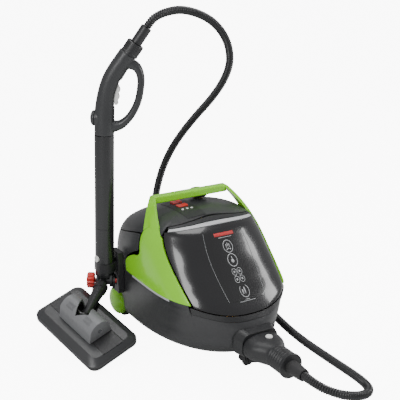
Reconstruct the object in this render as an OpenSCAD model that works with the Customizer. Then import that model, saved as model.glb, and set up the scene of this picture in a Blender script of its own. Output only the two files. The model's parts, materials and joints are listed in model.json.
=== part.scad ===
// Canister steam cleaner with a parked wand, floor brush and steam hose.
// Millimetres, +Z up. Machine coordinates put the caster's floor contact at [0, 0, 0], the front
// of the machine towards -Y; frame_shift then moves the origin under the middle of the whole part.

/* [Body] */
// Length of the shell at its seam, front to back
body_l = 448; // [420:1:500]
// Width of the shell at its seam
body_w = 308; // [296:1:350]
// Height of the underside above the floor
underside_z = 18; // [14:1:24]
// Height of the seam between the lower and the upper shell
seam_z = 145; // [138:1:160]
// Height of the top of the dome
dome_z = 300; // [285:1:340]
// Wall of the plastic shells
shell_t = 3; // [2:0.5:4]
// Gap between neighbouring shells
seam_gap = 0.6; // [0.4:0.1:1]

/* [Handle] */
// Height of the carry handle's top edge
handle_z = 330; // [322:1:360]
// Length of the crossbar between its corners
handle_w = 194; // [180:1:210]
// Thickness of the crossbar
handle_t = 18; // [14:1:22]

/* [Wheels] */
// Diameter of a rear wheel
wheel_d = 84; // [76:1:92]
// Width of a rear tyre
wheel_w = 22; // [16:1:24]
// Distance between the outer faces of the rear tyres
wheel_track = 284; // [270:1:286]
// Diameter of the rear axle pins
axle_d = 10; // [8:1:14]
// Diameter of the caster's two small wheels
caster_d = 26; // [20:1:26]

/* [Boiler] */
// Outer diameter of the boiler
boiler_d = 160; // [120:1:180]
// Height of the boiler's cylindrical wall
boiler_h = 120; // [90:1:130]
// Wall of the boiler
boiler_t = 2.5; // [2:0.5:4]
// Diameter of the safety cap
cap_d = 44; // [38:1:50]

/* [Wand] */
// Outer diameter of the extension tubes
tube_d = 45; // [38:1:50]
// Wall of the extension tubes
tube_t = 2.5; // [2:0.5:4]
// Lean of the parked wand towards the machine, in degrees
wand_lean = 1.8; // [0:0.1:3]
// Thickness of the gun from side to side
gun_t = 40; // [36:1:44]
// Outer diameter of the hose
hose_d = 20; // [16:1:22]

/* [Brush] */
// Length of the floor brush
brush_l = 225; // [200:1:240]
// Depth of the floor brush
brush_h = 132; // [120:1:140]
// Corner radius of the brush in plan
brush_r = 20; // [12:1:28]
// Radius of the barrel that hides the brush pivot
barrel_r = 27; // [24:1:30]

/* [Hidden] */
$fn = 64;
running = 0.05;
clear = 0.4;

charcoal = "#4a4b4e";
black = "#1c1c1e";
green = "#7cc242";
red = "#b3262b";
pale = "#e8e8e4";
steel = "#b9bcc0";

// ---- the shell's outline at any height ----
// height, front inset, rear inset, side inset, front and rear roundness, widest point
SHELL = [
    [0, 44, 34, 24, 2.2, 2.8, 0.60],
    [0.05, 9, 14, 8, 2.2, 3.0, 0.62],
    [0.16, -16, 4, 1, 2.1, 3.2, 0.62],
    [0.35, -28, 0, 0, 2.1, 3.3, 0.62],
    [0.55, -30, -2, -1, 2.2, 3.3, 0.60],
    [0.79, -18, -2, -1, 2.6, 3.3, 0.55],
    [1, 0, 0, 0, 3.2, 3.2, 0.50],
    [1.23, 32, 3, 2, 3.1, 3.1, 0.50],
    [1.45, 63, 14, 5, 2.9, 2.9, 0.50],
    [1.63, 85, 36, 10, 2.7, 2.7, 0.50],
    [1.755, 100, 66, 17, 2.5, 2.5, 0.50],
    [1.845, 112, 96, 26, 2.4, 2.4, 0.50],
    [1.91, 128, 116, 44, 2.3, 2.3, 0.50],
    [1.96, 154, 139, 72, 2.2, 2.2, 0.50],
    [2, 196, 176, 110, 2.1, 2.1, 0.50]];
body_front = 16;
body_rear = body_front + body_l;
function col(k) = [for (row = SHELL) [row[0], row[k]]];
function level(z) = z < seam_z ? (z - underside_z) / (seam_z - underside_z)
    : 1 + (z - seam_z) / (dome_z - seam_z);
function bend(v, n) = sign(v) * pow(abs(v), 2 / n);
// point of the skin at height z and bearing a from the front, positive towards +X
function skin(a, z, proud = 0) =
    let (f = level(z), front = body_front + lookup(f, col(1)), rear = body_rear - lookup(f, col(2)))
    let (half = body_w / 2 - lookup(f, col(3)), mid = front + (rear - front) * lookup(f, col(6)))
    let (n = cos(a) > 0 ? lookup(f, col(4)) : lookup(f, col(5)))
    let (reach = cos(a) > 0 ? mid - front : rear - mid)
    [(half + proud) * bend(sin(a), n), mid - (reach + proud) * bend(cos(a), n), z];

// ---- seams between the panels, as heights over the bearing ----
function seam_front(a) = seam_z - 4 - 19 * pow(max(0, cos(min(abs(a), 44) * 90 / 44)), 1.3);
function trim_low(a) = seam_front(a) - 11 - 5 * min(1, abs(a) / 44);
function strip_low(a) = dome_z - 14 - 11 * pow(abs(a) / 60, 2);
function strip_high(a) = strip_low(a) + 5;
function band_high(a) = dome_z - 5 - 13 * pow(abs(a) / 62, 2);
function rim(a) = dome_z - 40 - 46 * pow(max(0, abs(a) - 86) / 46, 0.75);
function cover_edge(z) = 42 + 21 * (z - seam_z) / (dome_z - 24 - seam_z);
function wing_rear(z) = z > seam_z + 64 ? 87 : 87 + 11 * sin(min(90, (seam_z + 64 - z) * 1.8));

// ---- a closed panel from an outer and an inner net of points ----
module panel(outer, inner) {
    rows = len(outer);
    cols = len(outer[0]);
    net = [for (side = [outer, inner]) for (row = side) for (p = row) p];
    function at(s, j, i) = s * rows * cols + j * cols + i;
    faces = [
        for (j = [0:rows - 2]) for (i = [0:cols - 2]) each [
            [at(0, j, i), at(0, j + 1, i), at(0, j + 1, i + 1)],
            [at(0, j, i), at(0, j + 1, i + 1), at(0, j, i + 1)],
            [at(1, j, i), at(1, j + 1, i + 1), at(1, j + 1, i)],
            [at(1, j, i), at(1, j, i + 1), at(1, j + 1, i + 1)]],
        for (j = [0:rows - 2]) each [
            [at(0, j, 0), at(1, j, 0), at(1, j + 1, 0)],
            [at(0, j, 0), at(1, j + 1, 0), at(0, j + 1, 0)],
            [at(0, j, cols - 1), at(1, j + 1, cols - 1), at(1, j, cols - 1)],
            [at(0, j, cols - 1), at(0, j + 1, cols - 1), at(1, j + 1, cols - 1)]],
        for (i = [0:cols - 2]) each [
            [at(0, 0, i), at(1, 0, i + 1), at(1, 0, i)],
            [at(0, 0, i), at(0, 0, i + 1), at(1, 0, i + 1)],
            [at(0, rows - 1, i), at(1, rows - 1, i), at(1, rows - 1, i + 1)],
            [at(0, rows - 1, i), at(1, rows - 1, i + 1), at(0, rows - 1, i + 1)]]];
    polyhedron(net, faces, convexity = 6);
}

// a stack of closed rings, capped at both ends
module loft(rings) {
    n = len(rings[0]);
    points = [for (ring = rings) for (p = ring) p];
    faces = [
        [for (i = [0:n - 1]) i],
        [for (i = [0:n - 1]) len(points) - 1 - i],
        for (j = [0:len(rings) - 2]) for (i = [0:n - 1]) each [
            [j * n + i, (j + 1) * n + i, (j + 1) * n + (i + 1) % n],
            [j * n + i, (j + 1) * n + (i + 1) % n, j * n + (i + 1) % n]]];
    polyhedron(points, faces, convexity = 6);
}
function ring(z, proud, n = 56) = [for (k = [0:n - 1]) skin(360 * k / n, z, proud)];

// ---- frames ----
wand_foot = [-201, 340, 0];
wand_yaw = -30.6;
brush_pivot = [-30, -145, 89];
brush_turn = [17.6, 15.2, -44];
brush_drop = 34;
module in_wand() translate(wand_foot) rotate([0, 0, wand_yaw]) rotate([0, wand_lean, 0]) children();
module in_brush() in_wand() translate(brush_pivot) rotate(brush_turn) children();
function about_x(p, a) = [p[0], p[1] * cos(a) - p[2] * sin(a), p[1] * sin(a) + p[2] * cos(a)];
function about_y(p, a) = [p[0] * cos(a) + p[2] * sin(a), p[1], p[2] * cos(a) - p[0] * sin(a)];
function about_z(p, a) = [p[0] * cos(a) - p[1] * sin(a), p[0] * sin(a) + p[1] * cos(a), p[2]];
function wand_dir(p) = about_z(about_y(p, wand_lean), wand_yaw);
function brush_dir(p) =
    wand_dir(about_z(about_y(about_x(p, brush_turn[0]), brush_turn[1]), brush_turn[2]));
brush_mid = wand_foot + wand_dir(brush_pivot) + brush_dir([0, 0, -brush_drop]);
brush_u = brush_dir([1, 0, 0]);
brush_v = brush_dir([0, 1, 0]);
function brush_reach(k) = abs(brush_u[k]) * (brush_l / 2 - brush_r)
    + abs(brush_v[k]) * (brush_h / 2 - brush_r) + brush_r * norm([brush_u[k], brush_v[k]]);
socket_z = 62;
socket_y = -30;
socket_r = 22.4;
gland_at = [-90, 70];
gland_r = 9;
cover_out = wheel_track / 2 + 25;
low_x = brush_mid[0] - brush_reach(0);
high_x = max(cover_out, body_w / 2 + 1);
low_y = min(brush_mid[1] - brush_reach(1), socket_y - 2);
high_y = body_rear + 8;
frame_shift = [-(low_x + high_x) / 2, -(low_y + high_y) / 2, 0];
module placed() translate(frame_shift) children();

// ---- machine body ----
wheel_y = 372;
wheel_z = wheel_d / 2;
pocket_x = wheel_track / 2 - wheel_w - 4;
caster_pivot = [0, 14];
stem_r = 6;
stem_top = 52;
well_r = 36;
well_top = caster_d + 5;
module wheel_space(side, wall = 0) {
    translate([side * (pocket_x - wall), wheel_y, wheel_z]) rotate([0, side * 90, 0]) {
        cylinder(r = wheel_d / 2 + 3 + wall, h = wheel_w + 8);
        cylinder(r = wheel_d / 2 - 3, h = 80);
    }
}
module at_caster() translate([caster_pivot[0], caster_pivot[1], 0]) children();
LOWER_LEVELS = [0, 0.05, 0.16, 0.35, 0.55, 0.79, 1];
function lower_z(f) = underside_z + f * (seam_z - underside_z);
module front_notch() {
    bearings = [for (a = [-46:4:46]) a];
    panel(
        [for (v = [0, 1]) [for (a = bearings) skin(a, trim_low(a) - seam_gap + v * 60, 40)]],
        [for (v = [0, 1]) [for (a = bearings) skin(a, trim_low(a) - seam_gap + v * 60, -60)]]);
}
module lower_shell() placed() color(charcoal) difference() {
    loft([for (f = LOWER_LEVELS) ring(lower_z(f), 0)]);
    difference() {
        loft([for (f = [0.05, 0.16, 0.35, 0.55, 0.79, 1])
            ring(lower_z(f) + (f == 0.05 ? shell_t : 0) + (f == 1 ? 1 : 0), -shell_t)]);
        for (side = [-1, 1]) wheel_space(side, shell_t);
        at_caster() cylinder(r = well_r + shell_t, h = well_top + shell_t);
        at_caster() cylinder(r = stem_r + 5, h = stem_top + 2);
    }
    front_notch();
    for (side = [-1, 1]) wheel_space(side);
    translate([0, -60, socket_z]) rotate([-90, 0, 0]) cylinder(r = socket_r + 2, h = 60);
    at_caster() cylinder(r = well_r, h = well_top);
    at_caster() cylinder(r = stem_r + running, h = stem_top + 1);
    translate([0, wheel_y, wheel_z])
        rotate([0, 90, 0]) cylinder(d = axle_d + 0.2, h = wheel_track, center = true);
    translate([gland_at[0], body_rear - 60, gland_at[1]]) rotate([-90, 0, 0])
        cylinder(r = gland_r + clear, h = 100);
}
REAR = [for (k = [0:26]) k / 26];
function rear_bearing(u, z) = wing_rear(z) + 2 + u * (356 - 2 * wing_rear(z));
function fold(a) = a > 180 ? 360 - a : a;
module rear_shell() placed() color(charcoal) panel(
    [for (v = [0:0.125:1]) [for (u = REAR)
        let (low = seam_z + seam_gap, high = rim(fold(rear_bearing(u, seam_z + 60))))
        let (z = low + v * (high - low)) skin(rear_bearing(u, z), z)]],
    [for (v = [0:0.125:1]) [for (u = REAR)
        let (low = seam_z + seam_gap, high = rim(fold(rear_bearing(u, seam_z + 60))))
        let (z = low + v * (high - low)) skin(rear_bearing(u, z), z, -shell_t)]]);

// the dome: outer rows run from the rim or the band up to the flat top
DOME_N = 60;
function dome_low(a) = abs(a) < 63 ? band_high(a) + seam_gap : abs(a) < 88
    ? dome_z - 36 + 14 * (abs(a) - 63) / 24 : rim(abs(a)) + seam_gap;
function bearing(k) = k * 360 / DOME_N > 180 ? k * 360 / DOME_N - 360 : k * 360 / DOME_N;
function dome_net(v, drop) = [for (k = [0:DOME_N - 1])
    let (a = bearing(k), z = dome_low(a) + v * (dome_z - dome_low(a))) skin(a, z, 0) - [0, 0, drop]];
cap_at = [42, 306];
module dome_cover() placed() color(charcoal) difference() {
    loft(concat([for (v = [0, 0.3, 0.6, 0.85, 1]) dome_net(v, 0)]));
    translate([0, 0, -shell_t - 0.01]) loft([for (v = [0, 0.3, 0.6, 0.85, 1])
        [for (k = [0:DOME_N - 1]) let (a = bearing(k), z = dome_low(a) + v * (dome_z - dome_low(a)))
            skin(a, z, -shell_t) - [0, 0, v == 0 ? 1 : 0]]]);
    translate([cap_at[0], cap_at[1], dome_z - 60]) cylinder(r = 19 + clear, h = 100);
    translate([panel_x - panel_w / 2, panel_y, dome_z - 20]) cube([panel_w, panel_l, 40]);
}
function cover_net(proud) = [for (v = [0:0.125:1]) [for (u = [-1:0.0625:1])
    let (low = seam_front(u * 43) + seam_gap, high = strip_low(u * 61) - seam_gap)
    let (z = low + v * (high - low)) skin(u * (cover_edge(z) - 0.4), z, proud)]];
module front_cover() placed() color(black) panel(cover_net(0), cover_net(-shell_t));
function label_net(proud) = [for (v = [0:0.125:1]) [for (u = [-1:0.25:1])
    let (z = seam_z + 3 + v * (dome_z - 28 - seam_z)) skin(u * (8.5 + 9.5 * v), z, proud)]];
module front_label() placed() color("#26272a") panel(label_net(1.6), label_net(0.7));
function trim_net(proud) = [for (v = [0, 0.5, 1]) [for (a = [-45:3:45])
    let (z = trim_low(a) + v * (seam_front(a) - trim_low(a))) skin(a, z, proud)]];
module front_trim() placed() color("#2c2d2f") panel(trim_net(1.2), trim_net(-shell_t));
function edge_net(low, high, proud, half) = [for (v = [0, 0.5, 1]) [for (u = [-1:0.0625:1])
    let (a = u * half, z = low(a) + v * (high(a) - low(a))) skin(a, z, proud)]];
module light_strip() placed() color("#a9acae") panel(
    edge_net(function (a) strip_low(a), function (a) strip_high(a) - seam_gap, 0.5, 58),
    edge_net(function (a) strip_low(a), function (a) strip_high(a) - seam_gap, -shell_t, 58));
module black_band() placed() color("#222325") panel(
    edge_net(function (a) strip_high(a), function (a) band_high(a), 0, 60),
    edge_net(function (a) strip_high(a), function (a) band_high(a), -shell_t, 60));
function side_net(side, proud) = [for (v = [0, 1]) [for (k = [0:9])
    let (a = side > 0 ? 66 + 3 * k : -93 + 3 * k) skin(a, seam_z - 5 + 5 * v, proud)]];
module side_strips() placed() color("#c9cbcc")
    for (side = [-1, 1]) panel(side_net(side, 1.2), side_net(side, 0.3));

// ---- green wings and the carry handle ----
wing_t = 6;
wing_proud = 3;
function wing_top(u) = dome_z - 38 + 14 * u - 130 * max(0, u - 0.9);
function wing_net(side, proud) = [for (v = [0:0.1:1]) [for (u = [0:0.1:1])
    let (z = seam_z + seam_gap + v * (wing_top(u) - seam_z))
    let (a = cover_edge(z) + 1 + u * (wing_rear(z) - cover_edge(z) - 1)) skin(side * a, z, proud)]];
module wing(side) color(green)
    if (side > 0) panel(wing_net(side, wing_proud), wing_net(side, wing_proud - wing_t));
    else panel(wing_net(side, wing_proud - wing_t), wing_net(side, wing_proud));
module wing_left() placed() wing(-1);
module wing_right() placed() wing(1);
bar_y = 275;
arm_low = skin(78, dome_z - 24, wing_proud);
module carry_handle() placed() color("#6bb336") {
    corner = handle_w / 2;
    hull() for (side = [-1, 1]) for (dz = [-1, 1]) translate([side * (corner - 10), bar_y,
        handle_z - handle_t / 2 + dz * (handle_t / 2 - 5)]) rotate([0, 90, 0])
        cylinder(r = 5, h = 14, center = true, $fn = 24);
    for (side = [-1, 1]) hull() {
        translate([side * (corner - 6), bar_y, handle_z - handle_t / 2]) cube([8, 20, handle_t - 2], true);
        translate([side * (arm_low[0] - 3), arm_low[1], arm_low[2] + 6]) cube([6, 54, 3], true);
    }
}

// ---- controls on the dome ----
panel_x = -30;
panel_w = 58;
panel_y = 214;
panel_l = 96;
rocker_size = [24, 17, 7];
rocker_y = [panel_y + 44, panel_y + 72];
rocker_z = dome_z - 1;
module control_panel() placed() color("#2f3134") {
    panel_plate();
    for (y = rocker_y) translate([panel_x, y, rocker_z]) rotate([90, 0, 0])
        cylinder(r = 1.5, h = rocker_size[1] + 6, center = true);
}
module panel_plate() difference() {
    translate([panel_x - panel_w / 2 + clear, panel_y + clear, dome_z - 6])
        cube([panel_w - 2 * clear, panel_l - 2 * clear, 7]);
    for (y = rocker_y) translate([panel_x, y, dome_z])
        cube([rocker_size[0] + 2, rocker_size[1] + 2, 30], center = true);
    for (dx = [-12, 0, 12])
        translate([panel_x + dx, panel_y + 18, dome_z - 9]) cylinder(r = 3 + 0.1, h = 20);
}
module indicator_lamps() placed() color(pale)
    for (dx = [-12, 0, 12]) translate([panel_x + dx, panel_y + 18, dome_z - 5]) cylinder(r = 3, h = 7);
module rocker(y) color(red) translate([panel_x, y, rocker_z]) difference() {
    rotate([90, 0, 0]) linear_extrude(rocker_size[1], center = true)
        polygon([[-12, -3], [12, -3], [12, 4.5], [0, 2.2], [-12, 3]]);
    rotate([90, 0, 0]) cylinder(r = 1.5 + running, h = 40, center = true);
}
module rocker_power() placed() rocker(rocker_y[0]);
module rocker_boiler() placed() rocker(rocker_y[1]);

// ---- pressure system ----
boiler_y = 262;
boiler_z = 66;
neck_r = 19;
module boiler_form(inset) translate([0, boiler_y, boiler_z]) rotate_extrude() {
    r = boiler_d / 2 - inset;
    bulge = 22;
    polygon(concat([[0, -bulge + inset]],
        [for (a = [-75:15:0]) [r * cos(a) , bulge * sin(a) + (inset > 0 ? inset * 0.2 : 0)]],
        [for (a = [0:15:75]) [r * cos(a), boiler_h + bulge * sin(a) - (inset > 0 ? inset * 0.2 : 0)]],
        [[0, boiler_h + bulge - inset]]));
}
module boiler() placed() color(steel) difference() {
    boiler_form(0);
    boiler_form(boiler_t);
    translate([cap_at[0], cap_at[1], boiler_z + boiler_h - 20]) cylinder(r = 12 + clear, h = 60);
}
module heater() placed() color("#8d5a3c") translate([0, boiler_y, boiler_z - 28])
    rotate_extrude() translate([44, 0]) circle(r = 5);
module thermostat() placed() color(black)
    translate([0, boiler_y - boiler_d / 2 - 6.5, boiler_z + 60])
        rotate([90, 0, 0]) cylinder(r = 9, h = 12, center = true);
module filler_neck() placed() color("#d0b26a") translate([cap_at[0], cap_at[1], 0]) difference() {
    union() {
        translate([0, 0, boiler_z + boiler_h + 10]) cylinder(r = 12, h = dome_z - boiler_z - boiler_h - 12);
        translate([0, 0, boiler_z + boiler_h + 28]) cylinder(r = 17, h = 6);
    }
    translate([0, 0, boiler_z]) cylinder(r = 8, h = 400);
}
module cap_seal() placed() color("#3a3a3a") translate([cap_at[0], cap_at[1], dome_z - 2])
    difference() {
        cylinder(r = 12, h = 2.5);
        translate([0, 0, -1]) cylinder(r = 8, h = 10);
    }
module safety_cap() placed() color(black) translate([cap_at[0], cap_at[1], 0]) difference() {
    union() {
        translate([0, 0, dome_z + 1.5]) cylinder(r = cap_d / 2, h = 13);
        translate([0, 0, dome_z + 14.5]) cylinder(r1 = cap_d / 2, r2 = cap_d / 2 - 4, h = 3);
        translate([0, 0, dome_z - 22]) cylinder(r = 8 - running, h = 30);
    }
    for (a = [0:30:330]) rotate([0, 0, a]) translate([cap_d / 2 + 1.5, 0, dome_z]) cylinder(r = 3, h = 30);
}
valve_y = 96;
module steam_valve() placed() color("#6b6f73") {
    translate([0, valve_y, socket_z]) cube([34, 44, 30], center = true);
    translate([0, valve_y, socket_z + 15]) cylinder(r = 13, h = 34);
}
module steam_pipe() placed() color("#c98a4b") {
    translate([0, valve_y - 22, socket_z]) rotate([90, 0, 0]) cylinder(r = 4, h = valve_y - 23);
    translate([0, boiler_y - boiler_d / 2 - 0.4, boiler_z + boiler_h - 8]) rotate([90, 0, 0])
        cylinder(r = 4, h = boiler_y - boiler_d / 2 - valve_y - 20.4);
    translate([0, valve_y + 20, socket_z + 15]) cylinder(r = 4, h = boiler_z + boiler_h - 23 - socket_z);
    translate([0, valve_y + 20, boiler_z + boiler_h - 8]) sphere(r = 4);
}
gland_l = 44;
module cord_gland() placed() color(black)
    translate([gland_at[0], body_rear + 8 - gland_l, gland_at[1]]) rotate([-90, 0, 0]) difference() {
        union() {
            cylinder(r = gland_r, h = gland_l);
            cylinder(r = gland_r + 4, h = 4);
        }
        translate([0, 0, -1]) cylinder(r = 4, h = gland_l + 2);
    }

// ---- rear wheels and caster ----
module rear_axle() placed() color(steel) translate([0, wheel_y, wheel_z]) rotate([0, 90, 0])
    cylinder(d = axle_d, h = wheel_track + 6, center = true);
module wheel(side) color("#232325") translate([side * (wheel_track / 2), wheel_y, wheel_z])
    rotate([0, -side * 90, 0])
        rotate_extrude() polygon([[axle_d / 2 + running, 0], [axle_d / 2 + running, wheel_w],
            [wheel_d / 2 - 4, wheel_w], [wheel_d / 2, wheel_w - 4], [wheel_d / 2, 4], [wheel_d / 2 - 4, 0]]);
module wheel_left() placed() wheel(-1);
module wheel_right() placed() wheel(1);
module wheel_cover(side) color(green) translate([side * (wheel_track / 2 + 0.2), wheel_y, wheel_z])
    rotate([0, side * 90, 0]) difference() {
        rotate_extrude() polygon(concat([[0, 0], [36, 0]],
            [for (a = [0:9:90]) [36 * cos(a), 6 + (cover_out - wheel_track / 2 - 6.2) * sin(a)]]));
        translate([0, 0, -1]) cylinder(d = axle_d + 2, h = 6);
    }
module wheel_covers_left() placed() wheel_cover(-1);
module wheel_covers_right() placed() wheel_cover(1);
caster_r = caster_d / 2;
module caster_fork() placed() color(black) translate([caster_pivot[0], caster_pivot[1], 0]) {
    translate([0, 0, caster_d + 3]) cylinder(r = stem_r, h = stem_top - caster_d - 3);
    translate([0, -caster_pivot[1], 0]) difference() {
        translate([0, 6, 12]) cylinder(r1 = 26, r2 = 22, h = caster_d - 8);
        for (side = [-1, 1]) translate([side * 13, 0, caster_r]) rotate([0, 90, 0])
            cylinder(r = caster_r + 1.5, h = 16, center = true);
        translate([0, 0, caster_r]) rotate([0, 90, 0]) cylinder(r = 2.5 + running, h = 80, center = true);
    }
}
module caster_wheels() placed() color("#232325") translate([0, 0, caster_r]) rotate([0, 90, 0]) {
    for (side = [-1, 1]) translate([0, 0, side * 13]) cylinder(r = caster_r, h = 13, center = true);
    cylinder(r = 2.5, h = 30, center = true);
}

// ---- steam socket, connector and hose ----
module socket_housing() placed() color("#2e3032") difference() {
    hull() {
        for (sx = [-1, 1]) for (z = [56, 74]) translate([sx * 30, 0, z]) rotate([90, 0, 0])
            cylinder(r = 22, h = 8, $fn = 32);
        for (sx = [-1, 1]) for (z = [56, 72]) translate([sx * 26, socket_y, z]) rotate([90, 0, 0])
            cylinder(r = 20, h = 2, $fn = 32);
    }
    loft([for (f = LOWER_LEVELS) ring(lower_z(f), 0.15)]);
    translate([0, -80, socket_z]) rotate([-90, 0, 0]) cylinder(r = socket_r, h = 160);
}
connector_y = socket_y - 2.5;
grip_y = connector_y - 62;
grip_end = grip_y - 52;
sleeve_end = grip_end - 44;
module connector_body() placed() color("#333538") difference() {
    union() {
        hull() {
            for (sx = [-1, 1]) translate([sx * 20, connector_y, socket_z]) rotate([90, 0, 0])
                cylinder(r = 27, h = 30, $fn = 32);
            translate([0, grip_y + 8, socket_z]) rotate([90, 0, 0]) cylinder(r = 26, h = 8, $fn = 32);
        }
        translate([0, grip_y, socket_z]) rotate([90, 0, 0]) cylinder(r = 26, h = 46);
        translate([0, grip_y - 46, socket_z]) rotate([90, 0, 0]) cylinder(r = 28, h = 6);
        translate([0, connector_y + 32, socket_z]) rotate([90, 0, 0]) cylinder(r = socket_r - 1.4, h = 34);
        for (k = [0:5])
            translate([0, grip_y - 6 - 7 * k, socket_z]) rotate([90, 0, 0]) cylinder(r = 27, h = 3);
    }
    translate([0, 100, socket_z]) rotate([90, 0, 0]) cylinder(r = 6, h = 400);
    translate([0, grip_y - 20, socket_z]) rotate([90, 0, 0]) cylinder(r = 15 + 0.1, h = 60);
    translate([6, connector_y - 24, socket_z + 10]) cylinder(r = 8 + 0.2, h = 40);
}
module connector_button() placed() color(pale) translate([6, connector_y - 24, socket_z + 14]) {
    cylinder(r = 8, h = 14);
    translate([0, 0, 14]) cylinder(r1 = 8, r2 = 6.5, h = 2);
}
module connector_sleeve() placed() color("#2a2b2d")
translate([0, 0, socket_z]) rotate([90, 0, 0]) difference() {
    union() {
        translate([0, 0, -grip_y + 21]) cylinder(r = 15, h = 52);
        translate([0, 0, -sleeve_end - 23]) cylinder(r1 = 15, r2 = 13, h = 23);
    }
    translate([0, 0, -grip_y]) cylinder(r = hose_d / 2 + 0.1, h = 200);
}
gun_end = [93, 0, 719];
gun_tilt = 33;
// centre line of the hose, chosen by hand, from the connector's sleeve to the gun's sleeve
HOSE = [
    [0, -116, 62], [0, -154, 62], [0, -191, 62], [2, -216, 60], [13, -243, 54], [37, -265, 46],
    [70, -273, 37], [103, -264, 28],
    [130, -240, 19], [145, -206, 13], [150, -165, 11], [150, -115, 11], [150, -60, 11],
    [151, 0, 11], [156, 60, 11], [166, 125, 11], [180, 190, 11], [193, 255, 11], [202, 320, 11],
    [206, 385, 11], [200, 445, 11], [182, 495, 11], [152, 530, 11], [114, 545, 14],
    [77, 541, 27], [48, 531, 52], [32, 522, 88], [26, 515, 130], [24, 509, 178], [26, 502, 228],
    [30, 492, 278], [38, 476, 330], [51, 453, 382], [69, 426, 430], [90, 395, 476],
    [112, 361, 522], [127, 331, 568], [130, 308, 612], [119, 294, 653], [97, 286, 689],
    [64, 280, 719], [24, 277, 739], [-19, 275, 749], [-58, 273, 746], [-85, 276, 735]];
function rotmin(u, t) = let (w = u - (u * t) * t) w / norm(w);
hose_end = wand_foot + wand_dir(gun_end);
ROUTE = concat(HOSE, [hose_end]);
function tangent(k) = let (a = ROUTE[max(0, k - 1)], b = ROUTE[min(len(ROUTE) - 1, k + 1)])
    k == 0 ? [0, -1, 0] : k == len(ROUTE) - 1 ? wand_dir([-sin(gun_tilt), 0, -cos(gun_tilt)])
    : (b - a) / norm(b - a);
SIDES = [for (k = 0, u = [1, 0, 0]; k < len(ROUTE); k = k + 1,
    u = k < len(ROUTE) ? rotmin(u, tangent(k)) : u) u];
function hose_ring(k) = let (t = tangent(k), u = rotmin(SIDES[k], t), w = cross(t, u))
    [for (i = [0:11]) ROUTE[k] + hose_d / 2 * (cos(30 * i) * u + sin(30 * i) * w)];
module hose() placed() color("#26272a") loft([for (k = [0:len(ROUTE) - 1]) hose_ring(k)]);

// ---- steam gun ----
module at_collar() in_wand() translate(gun_end) rotate([0, gun_tilt, 0]) children();
collar_low = -70.5;
collar_l = 29;
module gun_sleeve() placed() at_collar() color("#333538") difference() {
    translate([0, 0, collar_low + collar_l + 0.5]) cylinder(r = 12.5, h = -collar_low - collar_l - 0.5);
    translate([0, 0, collar_low - 14]) cylinder(r = 8, h = 50);
    translate([0, 0, collar_low - 20]) cylinder(r = hose_d / 2 - 4, h = 100);
}
module swivel_collar() placed() at_collar() color("#3b3d40") difference() {
    translate([0, 0, collar_low]) cylinder(r = 20, h = collar_l);
    translate([0, 0, collar_low - 1]) cylinder(r = 8 + running, h = 60);
    for (a = [0:30:330]) rotate([0, 0, a]) translate([21.4, 0, collar_low + 6]) cylinder(r = 2, h = 40);
}
// outline of the gun in its own plane, each point [x, z]
GUN = [[-22, 476], [24, 476], [34, 487], [50, 501], [62, 517], [74, 540], [83, 562], [90, 588],
    [91, 606], [87, 626], [80, 641], [66, 652], [37, 671], [20, 645], [5, 620], [-8, 592],
    [-18, 562], [-22, 530]];
LOOP = [[36, 509], [50, 519], [61, 535], [69, 555], [74, 578], [75, 598], [72, 616], [66, 626],
    [59, 629], [51, 621], [42, 606], [33, 592], [27, 572], [24, 545], [24, 524], [28, 512]];
trigger_pivot = [22, 596];
module gun_bore() translate(gun_end) rotate([0, gun_tilt, 0]) translate([0, 0, collar_low - 15])
    cylinder(r = 8 + 0.1, h = 40);
module gun_half(side) color(charcoal) difference() {
    gun_form(side);
    gun_bore();
}
module gun_form(side) rotate([90, 0, 0]) difference() {
    translate([0, 0, side > 0 ? 0.1 : -gun_t / 2]) linear_extrude(gun_t / 2 - 0.1) difference() {
        polygon(GUN);
        polygon(LOOP);
    }
    translate([0, 0, side > 0 ? -1 : -gun_t / 2 + 4]) linear_extrude(gun_t / 2 - 3) polygon([
        [-16, 480], [18, 480], [18, 530], [20, 572], [24, 592], [34, 608], [40, 640], [24, 634],
        [10, 612], [-2, 590], [-12, 560], [-16, 530]]);
    translate([0, 0, -9]) linear_extrude(18) polygon([[14, 542], [30, 542], [38, 600], [14, 604]]);
    translate([trigger_pivot[0], trigger_pivot[1], 0]) cylinder(r = 2 + 0.2, h = 30, center = true);
    translate([-30, 514, 0]) rotate([0, 90, 0]) cylinder(r = 5 + 0.1, h = 20);
}
module gun_shell_left() placed() in_wand() gun_half(-1);
module gun_shell_right() placed() in_wand() gun_half(1);
module trigger() placed() in_wand() color(pale) rotate([90, 0, 0]) difference() {
    translate([0, 0, -7]) linear_extrude(14) polygon([[18, 600], [28, 600], [33, 590], [37, 580],
        [33, 572], [35, 563], [31, 555], [32, 548], [24, 546], [19, 570]]);
    translate([trigger_pivot[0], trigger_pivot[1], 0]) cylinder(r = 2 + running, h = 30, center = true);
}
module trigger_pin() placed() in_wand() color(steel) rotate([90, 0, 0])
    translate([trigger_pivot[0], trigger_pivot[1], 0]) cylinder(r = 2, h = 30, center = true);
module steam_knob() placed() in_wand() color(charcoal) translate([-22.4, 0, 514]) rotate([0, -90, 0]) {
    rotate_extrude() polygon(concat([[0, 0], [18, 0]], [for (a = [0:15:90]) [18 * cos(a), 1 + 8 * sin(a)]]));
    translate([0, 0, -8]) cylinder(r = 5, h = 9);
}

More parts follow.
